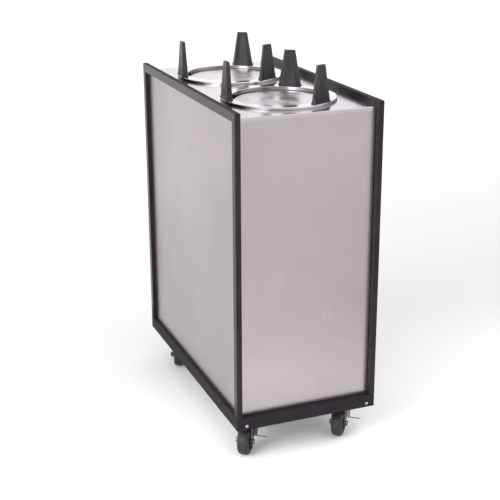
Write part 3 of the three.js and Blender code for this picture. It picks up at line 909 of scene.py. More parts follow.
@dataclass
class Trim:
    """The corner posts, top rails and base frame, of gloss black sheet."""

    shop: Workshop
    corner_radius: float = 0.003
    edge_radius: float = 0.002
    wall: float = 0.0012
    arris: float = 0.0005
    seam: float = 0.00025
    ledge: float = 0.036
    block_steps: int = 8
    bolt_steps: int = 48
    bolt_edge: float = 0.0004
    bolt_flat: float = 0.0044
    bolt_dome: tuple[float, float] = (0.35, 0.3)
    socket_radius: float = 0.0022
    socket_depth: float = 0.0018

    def build(self) -> None:
        """Model every piece of the trim."""
        self.posts()
        self.top_rails()
        self.base_rails()
        self.bolts()

    def posts(self) -> None:
        """The four corner posts."""
        for end, side in product(ENDS, SIDES):
            node = f"corner_post_{end}_{side}"
            box = Box.of(node)
            post = add_box(f"{node}_shell", box.low, box.high)
            far = [max(abs(box.low[i]), abs(box.high[i])) for i in (0, 1)]
            bevel(post, upright(*far), self.corner_radius)
            self.shop.hand_over(soften(post, self.arris), CABINET, Slot.TRIM, node)

    def top_rails(self) -> None:
        """The two top rails, each a folded channel with a plug over each post."""
        box = Box.of("top_rail_right")
        inner, outer, bottom, top = box.low.x, box.high.x, box.low.z, box.high.z
        leg_end = deck_top() + SEAT
        lip_end = Box.of("side_panel_right").high.x + self.seam
        end = Box.of("corner_post_rear_right").low.y
        wall = self.wall
        rail = slab("rail", [
            (outer, bottom, self.arris),
            (outer, top, self.edge_radius),
            (inner, top, self.edge_radius),
            (inner, leg_end, 0),
            (inner + wall, leg_end, 0),
            (inner + wall, top - wall, 0),
            (outer - wall, top - wall, 0),
            (outer - wall, bottom + wall, 0),
            (lip_end, bottom + wall, 0),
            (lip_end, bottom, 0),
        ], Axis.Y, -end, end)
        plug = add_box("plug", (inner, end + self.seam, bottom), (outer, box.high.y, top))
        bevel(plug, upright(outer, box.high.y), self.corner_radius)
        bevel(plug, at_height(top), self.edge_radius)
        soften(plug, self.arris)
        for side, sign in SIDES.items():
            node = f"top_rail_{side}"
            piece = copy_of(rail, f"{node}_channel", rotation(0 if sign > 0 else pi))
            self.shop.hand_over(piece, CABINET, Slot.TRIM, node)
            for end_name, end_sign in ENDS.items():
                flip = Matrix.Diagonal((sign, end_sign, 1, 1))
                piece = tidy_shell(copy_of(plug, f"{node}_plug_{end_name}", flip))
                self.shop.hand_over(piece, CABINET, Slot.TRIM, node)
        bpy.data.objects.remove(rail)
        bpy.data.objects.remove(plug)

    def base_rails(self) -> None:
        """The base frame: four folded angles, mitred where they meet."""
        front, right = Box.of("base_rail_front"), Box.of("base_rail_right")
        bottom, top = front.low.z, front.high.z
        reach = Vector((right.high.x, -front.low.y, 0))
        section = fillet([
            (0, bottom, self.arris),
            (self.wall, bottom, 0),
            (self.wall, top - self.wall, 0),
            (self.ledge, top - self.wall, 0),
            (self.ledge, top, self.arris),
            (0, top, self.edge_radius),
        ])
        for name, facing in {"front": (0, -1), "right": (1, 0), "rear": (0, 1), "left": (-1, 0)}.items():
            node = f"base_rail_{name}"
            ahead = Vector((*facing, 0))
            aside = Vector((-ahead.y, ahead.x, 0))
            out, half = abs(ahead.dot(reach)), abs(aside.dot(reach))
            foot = ahead * out - aside * half
            outline = [foot - ahead * point.x + Vector((0, 0, point.y)) for point in section]
            rail = extrude(f"{node}_angle", outline, aside * 2 * half)
            for sign in (-1, 1):
                keep = (ahead - sign * aside).normalized()
                place = ahead * out + aside * sign * half + keep * self.seam / 2
                with editing(rail):
                    bpy.ops.mesh.bisect(plane_co=place, plane_no=keep, use_fill=True, clear_inner=True)
            combine(rail, self._rounded_block(reach, bottom, top), "INTERSECT")
            self.shop.hand_over(rail, CABINET, Slot.TRIM, node)

    def _rounded_block(self, reach: Vector, bottom: float, top: float) -> Object:
        """A block as wide and long as the cabinet, with its upright edges rounded.

        Args:
            reach: How far the cabinet reaches from its middle.
            bottom: The least height that the block takes in.
            top: The greatest height that the block takes in.

        Returns:
            The block, a hair larger than the cabinet so that no two faces coincide.
        """
        corner = Vector((reach.x + CLOSE, reach.y + CLOSE, top + self.ledge))
        block = add_box("block", (-corner.x, -corner.y, bottom - self.ledge), corner)
        bevel(block, upright(corner.x, corner.y), self.corner_radius, self.block_steps)
        return block

    def bolts(self) -> None:
        """The four bright bolts near the ends of the end rails."""
        box = Box.of("rail_bolt_front_left")
        radius = box.size.x / 2
        face = Box.of("base_rail_front").low.y
        height = face - box.low.y
        shoulder, bend = self.bolt_dome
        bolt = turn("bolt", [
            (0, height, 0),
            (self.bolt_flat, height, self.bolt_edge),
            (radius, height * shoulder, radius * bend),
            (radius, SEAT, self.bolt_edge / 2),
            (0, SEAT, 0),
        ], self.bolt_steps, closed=False)
        socket = primitive("cylinder", "socket", vertices=6, radius=self.socket_radius,
                           depth=2 * self.socket_depth, location=(0, 0, height))
        bolt = combine(bolt, socket, "DIFFERENCE")
        for (end, sign), side in product(ENDS.items(), SIDES):
            node = f"rail_bolt_{end}_{side}"
            middle = Box.of(node).middle
            spot = shift(middle.x, sign * abs(face), middle.z) @ rotation(-sign * pi / 2, Axis.X)
            self.shop.hand_over(copy_of(bolt, f"{node}_head", spot), CABINET, Slot.BOLT, node)
        bpy.data.objects.remove(bolt)


# ---------------------------------------------------------------- stainless sheet


@dataclass
class SheetMetal:
    """The four panels, the deck and the base pan, folded from sheet."""

    shop: Workshop
    sheet: float = 0.001
    panel_bend: tuple[float, int] = (0.0015, 4)
    deck_bend: tuple[float, int] = (0.0025, 6)
    pan_sheet: float = 0.0012
    cut_out_radius: float = 0.1265
    cut_out_depth: float = 0.01

    def build(self) -> None:
        """Model every sheet."""
        for end, sign in ENDS.items():
            self.panel(f"end_panel_{end}", Vector((0, sign, 0)))
        for side, sign in SIDES.items():
            self.panel(f"side_panel_{side}", Vector((sign, 0, 0)))
        self.deck()
        self.pan()

    def fold(self, block: Object, opened: Test, folded: Test, bend: tuple[float, int], wall: float) -> None:
        """Make a block into folded sheet.

        Args:
            block: The block.
            opened: Says which faces are left out.
            folded: Says which edges are folds.
            bend: How wide a fold is and how many faces cross it.
            wall: The sheet's thickness.
        """
        with editing(block):
            pick(block, opened)
            bpy.ops.mesh.delete(type="FACE")
        bevel(block, folded, *bend)
        thicken(block, wall)

    def panel(self, node: str, facing: Vector) -> None:
        """A panel whose side and bottom edges are folded back.

        Args:
            node: The solid that it stands for.
            facing: The way that its face looks.
        """
        box = Box.of(node)
        outer = max(box.low.dot(facing), box.high.dot(facing))

        def outside(one: Vector, two: Vector) -> bool:
            """Whether the edge runs round the panel's face, except its top."""
            face = abs(one.dot(facing) - outer) < CLOSE and abs(two.dot(facing) - outer) < CLOSE
            return face and min(one.z, two.z) < box.high.z - CLOSE

        panel = add_box(f"{node}_sheet", box.low, box.high)
        self.fold(panel, lambda middle, normal: normal.dot(facing) < -FACING or normal.z > FACING,
                  outside, self.panel_bend, self.sheet)
        self.shop.hand_over(panel, CABINET, Slot.PANEL, node)

    def deck(self) -> None:
        """The deck, folded down over the end panels, with a cut-out for each well."""
        node = "top_deck"
        box, top, end = Box.of(node), deck_top(), Box.of(node).high.y
        between = Box.of("top_rail_right").low.x - SEAT
        alongside = Box.of("corner_post_rear_right").low.y - SEAT

        def brow(one: Vector, two: Vector) -> bool:
            """Whether the edge is where the deck turns down at an end."""
            return at_height(top)(one, two) and abs(abs(one.y) - end) < CLOSE and abs(one.y - two.y) < CLOSE

        deck = add_box(f"{node}_sheet", (-between, -end, box.low.z), (between, end, top))
        self.fold(deck, lambda middle, normal: normal.z < -FACING or abs(normal.x) > FACING,
                  brow, self.deck_bend, self.sheet)
        for sign in SIDES.values():
            low = (sign * (between - self.sheet), -alongside, top - self.sheet)
            side = add_box("side", low, (sign * box.high.x, alongside, top))
            deck = combine(deck, side, "UNION")
        for end_name in ENDS:
            middle = well_middle(end_name)
            cut_out = primitive("cylinder", "cut_out", vertices=ROUND_STEPS, radius=self.cut_out_radius,
                                depth=self.cut_out_depth, location=(middle.x, middle.y, top))
            deck = combine(deck, cut_out, "DIFFERENCE")
        self.shop.hand_over(deck, CABINET, Slot.DECK, node)

    def pan(self) -> None:
        """The base pan that the casters are bolted to."""
        node = "base_pan"
        box = Box.of(node)
        pan = add_box(f"{node}_tray", box.low, box.high)
        self.fold(pan, lambda middle, normal: normal.z > FACING,
                  lambda one, two: min(one.z, two.z) < box.low.z + CLOSE, self.panel_bend, self.pan_sheet)
        self.shop.hand_over(pan, CABINET, Slot.INNER, node)


# ---------------------------------------------------------------- plate wells


@dataclass
class Well:
    """One plate well: bezel ring, silo, sprung carrier and three springs."""

    shop: Workshop
    end: str
    bezel_edge: float = 0.0025
    bezel_sheet: float = 0.0012
    bezel_arris: float = 0.0003
    collar_radius: float = 0.125
    silo_radius: float = 0.1265
    silo_sheet: float = 0.001
    silo_flange: float = 0.024
    silo_bends: tuple[float, float] = (0.003, 0.002)
    slot_width: float = 0.02
    slot_depth: float = 0.04
    slot_bottom: float = 0.182
    slot_top: float = 0.756
    slot_round: float = 0.95
    disc_edge: float = 0.006
    disc_rim: float = 0.0004
    disc_sheet: float = 0.0015
    ridge_radius: float = 0.098
    ridge_rise: float = 0.0008
    ridge_run: float = 0.006
    ridge_bend: float = 0.01
    head_radius: float = 0.06
    head_thickness: float = 0.0025
    head_edge: float = 0.0008
    column_radius: float = 0.016
    column_root: float = 0.004
    column_edge: float = 0.001
    column_steps: int = 64
    arm_start: float = 0.9
    arm_width: float = 0.012
    arm_reach: float = 0.149
    arm_height: float = 0.016
    arm_wall: float = 0.0015
    arm_bore: float = 0.03
    arm_edge: float = 0.0008
    arm_angles: tuple[float, ...] = (0, 120, 240)
    spring_circle: float = 0.141
    spring_radius: float = 0.007
    spring_turns: int = 80
    spring_steps: int = 14
    wire_radius: float = 0.0009
    wire_sides: int = 6
    hook_length: float = 0.014
    hook_bend: tuple[float, float] = (0.3, 0.45)
    hook_end: float = 0.97
    hook_steps: int = 5

    @property
    def carrier(self) -> str:
        """The body that the plates' carrier moves with."""
        return f"carrier_{self.end}"

    @property
    def place(self) -> Matrix:
        """Where the well's middle is on the floor."""
        return shift(*well_middle(self.end).xy)

    def build(self) -> None:
        """Model every piece of the well."""
        self.bezel()
        self.silo()
        self.disc()
        self.frame()
        self.springs()

    def bezel(self) -> None:
        """The pressed ring round the well, with a collar down through the deck."""
        node = f"bezel_ring_{self.end}"
        box = Box.of(node)
        outer, inner, foot = box.size.x / 2, self.collar_radius, deck_top() + SEAT
        bottom, top = box.low.z, box.high.z
        edge, wall, arris = self.bezel_edge, self.bezel_sheet, self.bezel_arris
        ring = turn(f"{node}_pressing", [
            (inner, bottom, arris),
            (inner, top, edge),
            (outer, top, edge),
            (outer, foot, arris),
            (outer - wall, foot, arris),
            (outer - wall, top - wall, edge - wall),
            (inner + wall, top - wall, edge - wall),
            (inner + wall, bottom, arris),
        ], ROUND_STEPS, arc=CORNER_STEPS)
        self.shop.hand_over(move(ring, self.place), CABINET, Slot.POLISHED, node)

    def silo(self) -> None:
        """The sheet tube below the ring, slotted for the carrier's arms."""
        node = f"silo_{self.end}"
        box = Box.of(node)
        inner, outer = self.silo_radius, self.silo_radius + self.silo_sheet
        flange, under = inner + self.silo_flange, box.high.z - self.silo_sheet
        root, mouth = self.silo_bends
        silo = turn(f"{node}_tube", [
            (inner, box.low.z, 0),
            (outer, box.low.z, 0),
            (outer, under, root),
            (flange, under, 0),
            (flange, box.high.z, 0),
            (inner, box.high.z, mouth),
        ], ROUND_STEPS)
        half, start = self.slot_width / 2, (inner + outer - self.slot_depth) / 2
        for angle in self.arm_angles:
            low = (start, -half, self.slot_bottom)
            slot = add_box("slot", low, (start + self.slot_depth, half, self.slot_top))
            bevel(slot, lambda one, two: abs(one.x - two.x) > half, half * self.slot_round)
            silo = combine(silo, move(slot, rotation(radians(angle))), "DIFFERENCE")
        self.shop.hand_over(move(silo, self.place), CABINET, Slot.INNER, node)

    def disc(self) -> None:
        """The carrier disc that the plates stand on, dished a little inside a pressed ridge."""
        node = f"carrier_disc_{self.end}"
        box = Box.of(node)
        radius, top, bottom = box.size.x / 2, box.high.z, box.low.z
        wall, ridge, low = self.disc_sheet, self.ridge_radius, box.high.z - self.ridge_rise
        above = [
            (0, low, 0),
            (ridge - self.ridge_run, low, self.ridge_bend),
            (ridge, top, self.ridge_bend),
            (radius, top, self.disc_edge),
            (radius, bottom, self.disc_rim),
        ]
        below = [(r - wall if r > radius - 2 * wall else r, z - wall, max(edge - wall, 0))
                 for r, z, edge in above[:4]]
        outline = [*above, (radius - wall, bottom, self.disc_rim), *reversed(below)]
        disc = turn(f"{node}_pressing", outline, ROUND_STEPS, closed=False, arc=CORNER_STEPS)
        self.shop.hand_over(move(disc, self.place), self.carrier, Slot.POLISHED, node)

    def frame(self) -> None:
        """The carrier frame: a head, a column and three arms of square tube."""
        node = f"carrier_frame_{self.end}"
        box = Box.of(node)
        top, bottom = box.high.z, box.low.z
        under = top - self.head_thickness
        column = turn(f"{node}_column", [
            (0, top, 0),
            (self.head_radius, top, self.head_edge),
            (self.head_radius, under, self.head_edge),
            (self.column_radius, under, self.column_root),
            (self.column_radius, bottom, self.column_edge),
            (0, bottom, 0),
        ], self.column_steps, closed=False)
        half, start = self.arm_width / 2, self.column_radius * self.arm_start
        arms = []
        for angle in self.arm_angles:
            arm = add_box("arm", (start, -half, bottom), (self.arm_reach, half, bottom + self.arm_height))
            with editing(arm):
                pick(arm, lambda middle, normal: normal.x > FACING)
                bpy.ops.mesh.inset(thickness=self.arm_wall)
                push((-self.arm_bore, 0, 0))
            arms.append(move(soften(arm, self.arm_edge), rotation(radians(angle))))
        self.shop.hand_over(move(join(column, *arms), self.place), self.carrier, Slot.INNER, node)

    def springs(self) -> None:
        """Three close-wound springs between the silo's flange and the arms."""
        box = Box.of(f"spring_{self.end}_1")
        bottom, top = box.low.z + self.hook_length, box.high.z - self.hook_length
        coil_radius, steps = self.spring_radius - self.wire_radius, self.spring_steps
        coil = primitive("circle", "coil", vertices=self.wire_sides, radius=self.wire_radius,
                         fill_type="NOTHING", location=(coil_radius, 0, bottom), rotation=(pi / 2, 0, 0))
        pitch = (top - bottom) / self.spring_turns
        apply_modifier(coil, "SCREW", axis="Z", screw_offset=pitch, iterations=self.spring_turns,
                       steps=steps, render_steps=steps, angle=2 * pi)
        with editing(coil, "EDGE"):
            bpy.ops.mesh.region_to_loop()
            bpy.ops.mesh.fill_holes(sides=0)
        for height, sign in ((bottom, -1), (top, 1)):
            coil = join(coil, self._hook(coil_radius, height, sign * self.hook_length))
        tidy_shell(coil)
        for index, angle in enumerate(self.arm_angles, 1):
            node = f"spring_{self.end}_{index}"
            spot = self.place @ rotation(radians(angle)) @ shift(self.spring_circle, 0)
            piece = copy_of(coil, f"{node}_coil", spot)
            self.shop.hand_over(piece, CABINET, Slot.SPRING, node)
            self._stretch(piece, node)
        bpy.data.objects.remove(coil)

    def _hook(self, reach: float, height: float, length: float) -> Object:
        """A spring's end: the wire turned in to the middle and drawn out straight.

        Args:
            reach: The coil's radius.
            height: Where the coil ends.
            length: How long the hook is, below zero if it points down.

        Returns:
            The hook.
        """
        rise, bend = self.hook_bend
        path = fillet([
            (reach, height, 0),
            (0, height + length * rise, reach * bend),
            (0, height + length * self.hook_end, 0),
        ], closed=False, steps=self.hook_steps)
        hook = primitive("circle", "hook", vertices=self.wire_sides, radius=self.wire_radius,
                         fill_type="NGON", location=(path[0].x, 0, path[0].y))
        with editing(hook):
            for before, after in pairwise(path):
                push((after.x - before.x, 0, after.y - before.y))
        return hook

    def _stretch(self, spring: Object, node: str) -> None:
        """Take a spring off its body and bake its place into its mesh.

        Args:
            spring: The spring.
            node: The solid that it stands for.
        """
        box = Box.of(node)
        spring.parent = None
        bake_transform(spring)


@dataclass
class Guides:
    """The six moulded plate guides that stand round the wells."""

    shop: Workshop
    outer_width: float = 0.066
    inner_width: float = 0.0435
    depth: float = 0.019
    top_width: float = 0.032
    top_depth: float = 0.01
    outer_corner: float = 0.0022
    inner_corner: float = 0.005
    top_bevel: tuple[float, int] = (0.0018, 4)
    foot_height: float = 0.003
    foot_margin: float = 0.0015
    foot_bevel: tuple[float, int] = (0.0009, 3)
    circle: float = 0.142
    angles: tuple[float, ...] = (175, 55, -65)

    def block(self, name: str, margin: float, height: float) -> Object:
        """An upright block with the guide's section.

        Args:
            name: The new object's name.
            margin: How far outside the guide's own section it reaches.
            height: Its height.

        Returns:
            The block, on the floor and with its outer face towards +Y.
        """
        outer, inner = self.outer_width / 2 + margin, self.inner_width / 2 + margin
        half = self.depth / 2 + margin
        return slab(name, [
            (-inner, -half, self.inner_corner),
            (inner, -half, self.inner_corner),
            (outer, half, self.outer_corner),
            (-outer, half, self.outer_corner),
        ], Axis.Z, 0, height)

    def model(self, height: float) -> Object:
        """One guide, tapered and standing on a low foot.

        Args:
            height: The guide's height.

        Returns:
            The guide.
        """
        guide = self.block("guide", 0, height)
        with editing(guide):
            pick(guide, lambda middle, normal: normal.z > FACING)
            size = (self.top_width / self.outer_width, self.top_depth / self.depth, 1)
            bpy.ops.transform.resize(value=size, center_override=(0, 0, height))
        bevel(guide, at_height(height), *self.top_bevel)
        foot = self.block("foot", self.foot_margin, self.foot_height)
        bevel(foot, at_height(self.foot_height), *self.foot_bevel)
        return combine(guide, foot, "UNION")

    def build(self) -> None:
        """Model the guide once and stand a copy at each place."""
        box = Box.of("plate_guide_front_1")
        guide = self.model(box.size.z)
        for end in ENDS:
            foot = shift(*well_middle(end).xy, box.low.z)
            for index, angle in enumerate(self.angles, 1):
                node = f"plate_guide_{end}_{index}"
                spot = foot @ rotation(radians(angle)) @ shift(self.circle, 0) @ rotation(-pi / 2)
                piece = copy_of(guide, f"{node}_moulding", spot)
                self.shop.hand_over(piece, CABINET, Slot.PLASTIC, node)
        bpy.data.objects.remove(guide)


# ---------------------------------------------------------------- casters


@dataclass
class Caster:
    """One swivel caster, modelled with its swivel axis on Z and its axle along X."""

    shop: Workshop
    end: str
    side: str
    rest_turns: tuple[float, float] = (radians(38), radians(17))
    trail: float = 0.03
    edge: float = 0.0006
    bar_steps: int = 32
    bar_sharp: float = 60
    plate_size: tuple[float, float] = (0.064, 0.092)
    plate_thickness: float = 0.0025
    plate_corner: float = 0.006
    plate_edge: float = 0.00042
    nut_radius: float = 0.0065
    nut_height: float = 0.005
    nut_inset: float = 0.009
    crown_bottom: float = 0.088
    crown_top: float = 0.092
    fork_inner: float = 0.018
    fork_outer: float = 0.021
    fork_front: float = 0.02
    fork_rear: float = 0.026
    fork_bend: float = 0.007
    fork_inner_bend: float = 0.00399
    fork_sharp: float = 50
    fork_shoulder: tuple[float, float] = (0.003, 0.004)
    fork_waist: tuple[float, float] = (0.006, 0.008)
    fork_brow: tuple[float, float] = (0.008, 0.006)
    boss_radius: float = 0.011
    boss_corner: float = 0.0105
    overlap: float = 0.001
    raceway_radii: tuple[float, float, float] = (0.0216, 0.024, 0.0192)
    raceway_steps: int = 64
    raceway_edge: float = 0.001
    raceway_drop: float = 0.003
    raceway_skirt: float = 0.0035
    raceway_bend: float = 0.002
    axle_radius: float = 0.004
    axle_head_radius: float = 0.007
    axle_head_height: float = 0.005
    wheel_radius: float = 0.038
    wheel_half: float = 0.016
    wheel_steps: int = 96
    tyre_edge: float = 0.0008
    tyre_side: tuple[float, float] = (0.009, 0.003)
    tyre_tread: float = 0.72
    tyre_drop: float = 0.0008
    tyre_bend: float = 0.006
    tyre_crown: float = 0.12
    hub_radius: float = 0.024
    hub_half: float = 0.0175
    hub_boss: float = 0.009
    hub_recess: float = 0.005
    hub_draft: float = 0.001
    hub_rim: tuple[float, float] = (0.004, 0.0025)
    hub_sink: float = 0.0006
    hub_bend: float = 0.002
    hub_edge: float = 0.0004
    hub_arc: int = 4

    @property
    def name(self) -> str:
        """Which caster it is."""
        return f"{self.end}_{self.side}"

    @property
    def swivel(self) -> str:
        """The body that the fork turns with."""
        return f"swivel_{self.name}"

    @property
    def place(self) -> Matrix:
        """Where the caster stands."""
        return shift(*Box.of(f"caster_plate_{self.name}").middle.xy)

    @property
    def turned(self) -> Matrix:
        """Where the pieces are that turn with the swivel. At rest the front and rear pairs differ."""
        return self.place @ rotation(-self.rest_turns[0 if self.end == "front" else 1])

    @property
    def at_axle(self) -> Matrix:
        """The middle of the axle."""
        return shift(0, -self.trail, self.wheel_radius)

    def build(self) -> None:
        """Model every piece of the caster."""
        self.plate()
        self.fork()
        self.axle()
        self.wheel()
        if self.end == "front":
            Brake(self).build()

    def hexagon(self, radius: float, low: float, high: float) -> Object:
        """A hexagon head or nut with worn corners, standing on Z.

        Args:
            radius: The radius to its corners.
            low: Its lower face.
            high: Its upper face.

        Returns:
            The hexagon.
        """
        middle = (0, 0, (low + high) / 2)
        nut = primitive("cylinder", "hexagon", vertices=6, radius=radius, depth=high - low, location=middle)
        return soften(nut, self.edge)

    def bar(self, name: str, radius: float, ends: tuple[float, float], spot: tuple[float, float]) -> Object:
        """A round bar along X with softened ends.

        Args:
            name: The new object's name.
            radius: The bar's radius.
            ends: Where it starts and ends along X.
            spot: Its place along Y and its height.

        Returns:
            The bar.
        """
        start, end = ends
        bar = primitive("cylinder", name, vertices=self.bar_steps, radius=radius, depth=end - start,
                        location=((start + end) / 2, *spot), rotation=(0, pi / 2, 0))
        return soften(bar, self.edge, self.bar_sharp)

    def plate(self) -> None:
        """The mounting plate with its four nuts."""
        node = f"caster_plate_{self.name}"
        top = Box.of(node).high.z
        bottom = top - self.plate_thickness
        x, y = self.plate_size[0] / 2, self.plate_size[1] / 2
        corners = ((-x, -y), (x, -y), (x, y), (-x, y))
        outline = [(*corner, self.plate_corner) for corner in corners]
        plate = soften(slab(f"{node}_pressing", outline, Axis.Z, bottom, top), self.plate_edge)
        nuts = []
        for corner in corners:
            nut = self.hexagon(self.nut_radius, bottom - self.nut_height, bottom)
            inwards = shift(*(place - copysign(self.nut_inset, place) for place in corner))
            nuts.append(move(nut, inwards))
        self.shop.hand_over(move(join(plate, *nuts), self.place), CABINET, Slot.CASTER, node)

    def fork(self) -> None:
        """The pressed fork: a bent strap cut to its side outline, under a raceway."""
        node = f"caster_fork_{self.name}"
        inner, outer, top, under = self.fork_inner, self.fork_outer, self.crown_top, self.crown_bottom
        boss, foot = self.boss_radius, self.wheel_radius - self.boss_radius
        waist = self.wheel_radius + boss / 2
        rear, front = -self.trail - boss, self.fork_front
        fork = slab(f"{node}_pressing", [
            (-outer, foot, 0),
            (-outer, top, self.fork_bend),
            (outer, top, self.fork_bend),
            (outer, foot, 0),
            (inner, foot, 0),
            (inner, under, self.fork_inner_bend),
            (-inner, under, self.fork_inner_bend),
            (-inner, foot, 0),
        ], Axis.Y, rear, front)
        reach = outer + self.overlap
        side = slab("side", [
            (front, top + self.overlap, 0),
            (-self.fork_rear, top + self.overlap, 0),
            (-self.fork_rear, top - self.fork_shoulder[0], self.fork_shoulder[1]),
            (rear, waist, self.fork_waist[0]),
            (rear, foot, self.boss_corner),
            (-self.trail + boss, foot, self.boss_corner),
            (-self.trail + boss, waist, self.fork_waist[1]),
            (front, under - self.fork_brow[0], self.fork_brow[1]),
        ], Axis.X, -reach, reach)
        fork = soften(combine(fork, side, "INTERSECT"), self.edge, self.fork_sharp)
        ceiling = Box.of(node).high.z
        lip, widest, root = self.raceway_radii
        raceway = turn("raceway", [
            (0, ceiling, 0),
            (lip, ceiling, self.raceway_edge),
            (widest, ceiling - self.raceway_drop, self.raceway_edge),
            (widest, under + self.raceway_skirt, self.raceway_bend),
            (root, under + self.overlap, 0),
            (0, under + self.overlap, 0),
        ], self.raceway_steps, closed=False)
        self.shop.hand_over(move(join(fork, raceway), self.turned), self.swivel, Slot.CASTER, node)

    def axle(self) -> None:
        """The axle bolt, with a head on one side and a nut on the other."""
        node = f"caster_axle_{self.name}"
        face = self.fork_outer + SEAT
        end = face + self.overlap
        axle = self.bar(f"{node}_bolt", self.axle_radius, (-end, end), (-self.trail, self.wheel_radius))
        heads = []
        for sign in (-1, 1):
            head = self.hexagon(self.axle_head_radius, face, face + self.axle_head_height)
            heads.append(move(head, self.at_axle @ rotation(sign * pi / 2, Axis.Y)))
        self.shop.hand_over(move(join(axle, *heads), self.turned), self.swivel, Slot.CASTER, node)

    def wheel(self) -> None:
        """The wheel: a crowned tyre on a hub with recessed sides."""
        node = f"caster_wheel_{self.name}"
        radius, half, hub = self.wheel_radius, self.wheel_half, self.hub_radius
        flank = [
            (hub, -half, self.tyre_edge),
            (radius - self.tyre_side[0], -half, self.tyre_side[1]),
            (radius - self.tyre_drop, -half * self.tyre_tread, self.tyre_bend),
        ]
        tyre = [*flank, (radius, 0, self.tyre_crown), *mirrored(flank)]
        boss, depth, rim = self.hub_boss, half - self.hub_recess, half - self.hub_sink
        cheek = [
            (self.axle_radius + SEAT, self.hub_half, self.hub_edge),
            (boss, self.hub_half, 2 * self.hub_edge),
            (boss + self.hub_draft, depth, self.hub_bend),
            (hub - self.hub_rim[0], depth, self.hub_bend),
            (hub - self.hub_rim[1], rim, self.hub_sink),
            (hub, rim, 0),
        ]
        spot = self.turned @ self.at_axle @ rotation(pi / 2, Axis.Y)
        profiles = {"tyre": (tyre, CORNER_STEPS), "hub": ([*cheek, *mirrored(cheek)], self.hub_arc)}
        for label, (profile, arc) in profiles.items():
            part = turn(f"{node}_{label}", profile, self.wheel_steps, arc=arc)
            self.shop.hand_over(move(part, spot), f"wheel_{self.name}", Slot.RUBBER, node)


@dataclass
class Brake:
    """The foot brake of a front caster: a cam shaft through the fork, an arm and a tilted pedal."""

    caster: Caster
    pivot_angle: float = radians(40)
    pivot_lift: float = 0.01
    shaft_radius: float = 0.0035
    lobe_offset: float = 0.007
    lobe_radius: float = 0.003
    lobe_angle: float = radians(170)
    cam_gap: float = 0.002
    side_gap: float = 0.0035
    thickness: float = 0.0025
    arm_width: float = 0.016
    arm_corner: float = 0.006
    arm_foot: float = 0.002
    pedal_height: float = 0.049
    pedal_reach: float = 0.03
    pedal_length: float = 0.022
    pedal_back: float = 0.016
    pedal_tilt: float = radians(25)
    pedal_corner: float = 0.006
    pedal_root: float = 0.001

    @property
    def pivot(self) -> tuple[float, float]:
        """The shaft's place, as Y and height."""
        reach, angle = self.caster.wheel_radius + self.pivot_lift, self.pivot_angle
        return reach * sin(angle) - self.caster.trail, reach * cos(angle) + self.caster.wheel_radius

    @property
    def arm_inner(self) -> float:
        """The arm's inner face along X."""
        return self.caster.fork_outer + self.side_gap

    @property
    def pedal_middle(self) -> Vector:
        """The middle of the pedal's lower face, where it meets the arm."""
        return Vector((self.arm_inner, self.pivot[0] - self.pedal_back, self.pedal_height))

    def build(self) -> None:
        """Model the brake as one piece."""
        caster, (y, z) = self.caster, self.pivot
        node = f"caster_brake_{caster.name}"
        ends = (-caster.fork_outer - SEAT, self.arm_inner + self.thickness)
        shaft = caster.bar(f"{node}_lever", self.shaft_radius, ends, (y, z))
        reach, offset, angle = caster.fork_inner - self.cam_gap, self.lobe_offset, self.lobe_angle
        spot = (y + offset * cos(angle), z + offset * sin(angle))
        lobe = caster.bar("lobe", self.lobe_radius, (-reach, reach), spot)
        piece = move(join(shaft, lobe, self.arm(), self.pedal()), caster.turned)
        caster.shop.hand_over(piece, f"brake_{caster.name}", Slot.CASTER, node)

    def arm(self) -> Object:
        """The flat arm that runs from the shaft down to the pedal's two corners.

        Returns:
            The arm.
        """
        (y, z), half, middle = self.pivot, self.arm_width / 2, self.pedal_middle
        along = self.pedal_length / 2 * cos(self.pedal_tilt)
        rise = self.pedal_length / 2 * sin(self.pedal_tilt)
        arm = slab("arm", [
            (y + half, z - half / 2, self.arm_corner),
            (y + half, z + half, self.arm_corner),
            (y - half, z + half, self.arm_corner),
            (middle.y - along, middle.z + rise, self.arm_foot),
            (middle.y + along, middle.z - rise, self.arm_foot),
        ], Axis.X, self.arm_inner, self.arm_inner + self.thickness)
        return soften(arm, self.caster.edge)

    def pedal(self) -> Object:
        """The pedal, with its front edge raised.

        Returns:
            The pedal.
        """
        end, half = self.thickness + self.pedal_reach, self.pedal_length / 2
        pedal = slab("pedal", [
            (0, -half, self.pedal_root),
            (end, -half, self.pedal_corner),
            (end, half, self.pedal_corner),
            (0, half, self.pedal_root),
        ], Axis.Z, 0, self.thickness)
        tilted = Matrix.Translation(self.pedal_middle) @ rotation(-self.pedal_tilt, Axis.X)
        return move(soften(pedal, self.caster.edge), tilted)


# ---------------------------------------------------------------- studio


@dataclass(frozen=True)
class Softbox:
    """A large soft light that looks at the cart."""

    name: str
    energy: float
    place: Corner
    size: tuple[float, float] = (2.4, 1.6)
    aim: Corner = (0, 0, 0.6)

    def hang(self) -> None:
        """Add the light to the scene."""
        data = bpy.data.lights.new(self.name, "AREA")
        data.shape = "RECTANGLE"
        data.size, data.size_y = self.size
        data.energy = self.energy
        lamp = bpy.data.objects.new(self.name, data)
        bpy.context.scene.collection.objects.link(lamp)
        look = (Vector(self.aim) - Vector(self.place)).to_track_quat("-Z", "Y")
        lamp.matrix_world = shift(*self.place) @ look.to_matrix().to_4x4()


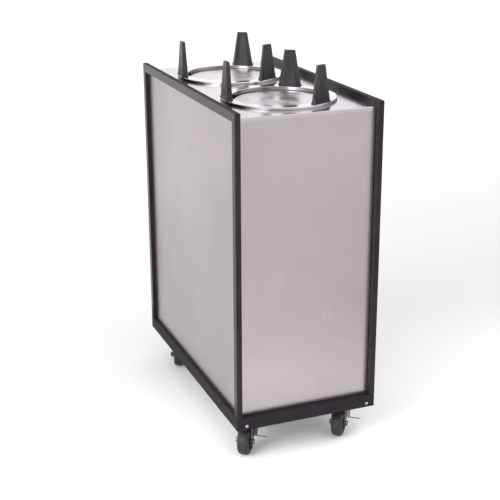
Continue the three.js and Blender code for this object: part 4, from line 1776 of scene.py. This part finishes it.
@dataclass
class Studio:
    """The floor, the light and the camera."""

    yaw: float = radians(21.58)
    pitch: float = radians(19.29)
    roll: float = radians(-0.25)
    lens: float = 80.6
    sensor: float = 36.0
    place: Corner = (-1.152, -2.881, 1.550)
    floor_size: float = 60.0
    # Painted light and shade on the floor, by Y: a brighter band just in front of the cart, and darker bands
    # further in front and beside it.
    floor_painted_light_and_shade: tuple[tuple[float, float], ...] = (
        (-4.5, 0.82), (-2.6, 0.8), (-1.3, 0.61), (-0.75, 0.93),
        (-0.3, 0.8), (0.5, 0.62), (1.4, 0.64), (2.7, 0.8),
    )
    floor_roughness: float = 0.9
    floor_specular: float = 0.1
    sky: tuple[float, float, float] = (1.0, 0.985, 0.99)
    sky_strength: float = 1.4
    softboxes: tuple[Softbox, ...] = (
        Softbox("softbox_left", 120, (-3.2, -1.6, 2.2)),
        Softbox("softbox_right", 16, (2.2, -1.6, 3.0)),
    )

    def build(self) -> None:
        """Set up the studio."""
        self.camera()
        self.floor()
        self.light()

    def camera(self) -> None:
        """The camera, at the photograph's viewing angle."""
        data = bpy.data.cameras.new("camera")
        data.sensor_width = self.sensor
        data.lens = self.lens
        data.clip_end = 2 * self.floor_size
        camera = bpy.data.objects.new("camera", data)
        bpy.context.scene.collection.objects.link(camera)
        look = rotation(-self.yaw) @ rotation(pi / 2 - self.pitch, Axis.X)
        camera.matrix_world = shift(*self.place) @ look @ rotation(self.roll)
        bpy.context.scene.camera = camera

    def floor(self) -> None:
        """A pale floor whose tone changes gently along Y, in bands of painted light and painted shade that
        the steel reflects.
        """
        floor = primitive("plane", "studio_floor", size=self.floor_size)
        sheet = Sheet("studio_floor")
        # The ramp paints the floor's bands of light and shade.
        sheet.lead(Base_Color=sheet.ramp(sheet.axes["Y"], self.floor_painted_light_and_shade, "EASE"))
        sheet.set(Roughness=self.floor_roughness, Specular_IOR_Level=self.floor_specular)
        floor.data.materials.append(sheet.material)

    def light(self) -> None:
        """An even white surround and two large soft lights."""
        world = bpy.data.worlds.new("studio")
        world.use_nodes = True
        background = world.node_tree.nodes["Background"]
        background.inputs["Color"].default_value = (*self.sky, 1)
        background.inputs["Strength"].default_value = self.sky_strength
        bpy.context.scene.world = world
        for softbox in self.softboxes:
            softbox.hang()


def main() -> None:
    """Model and dress the cart, and set up the studio."""
    logging.basicConfig(level=logging.INFO, format="%(name)s: %(message)s")
    bpy.context.scene.view_settings.view_transform = "Standard"
    shop = Workshop(well_spacing=well_middle("rear").y - well_middle("front").y)
    shop.mix()
    Trim(shop).build()
    SheetMetal(shop).build()
    for end in ENDS:
        Well(shop, end).build()
    Guides(shop).build()
    for end, side in product(ENDS, SIDES):
        Caster(shop, end, side).build()
    Studio().build()


if __name__ == "__main__":
    main()
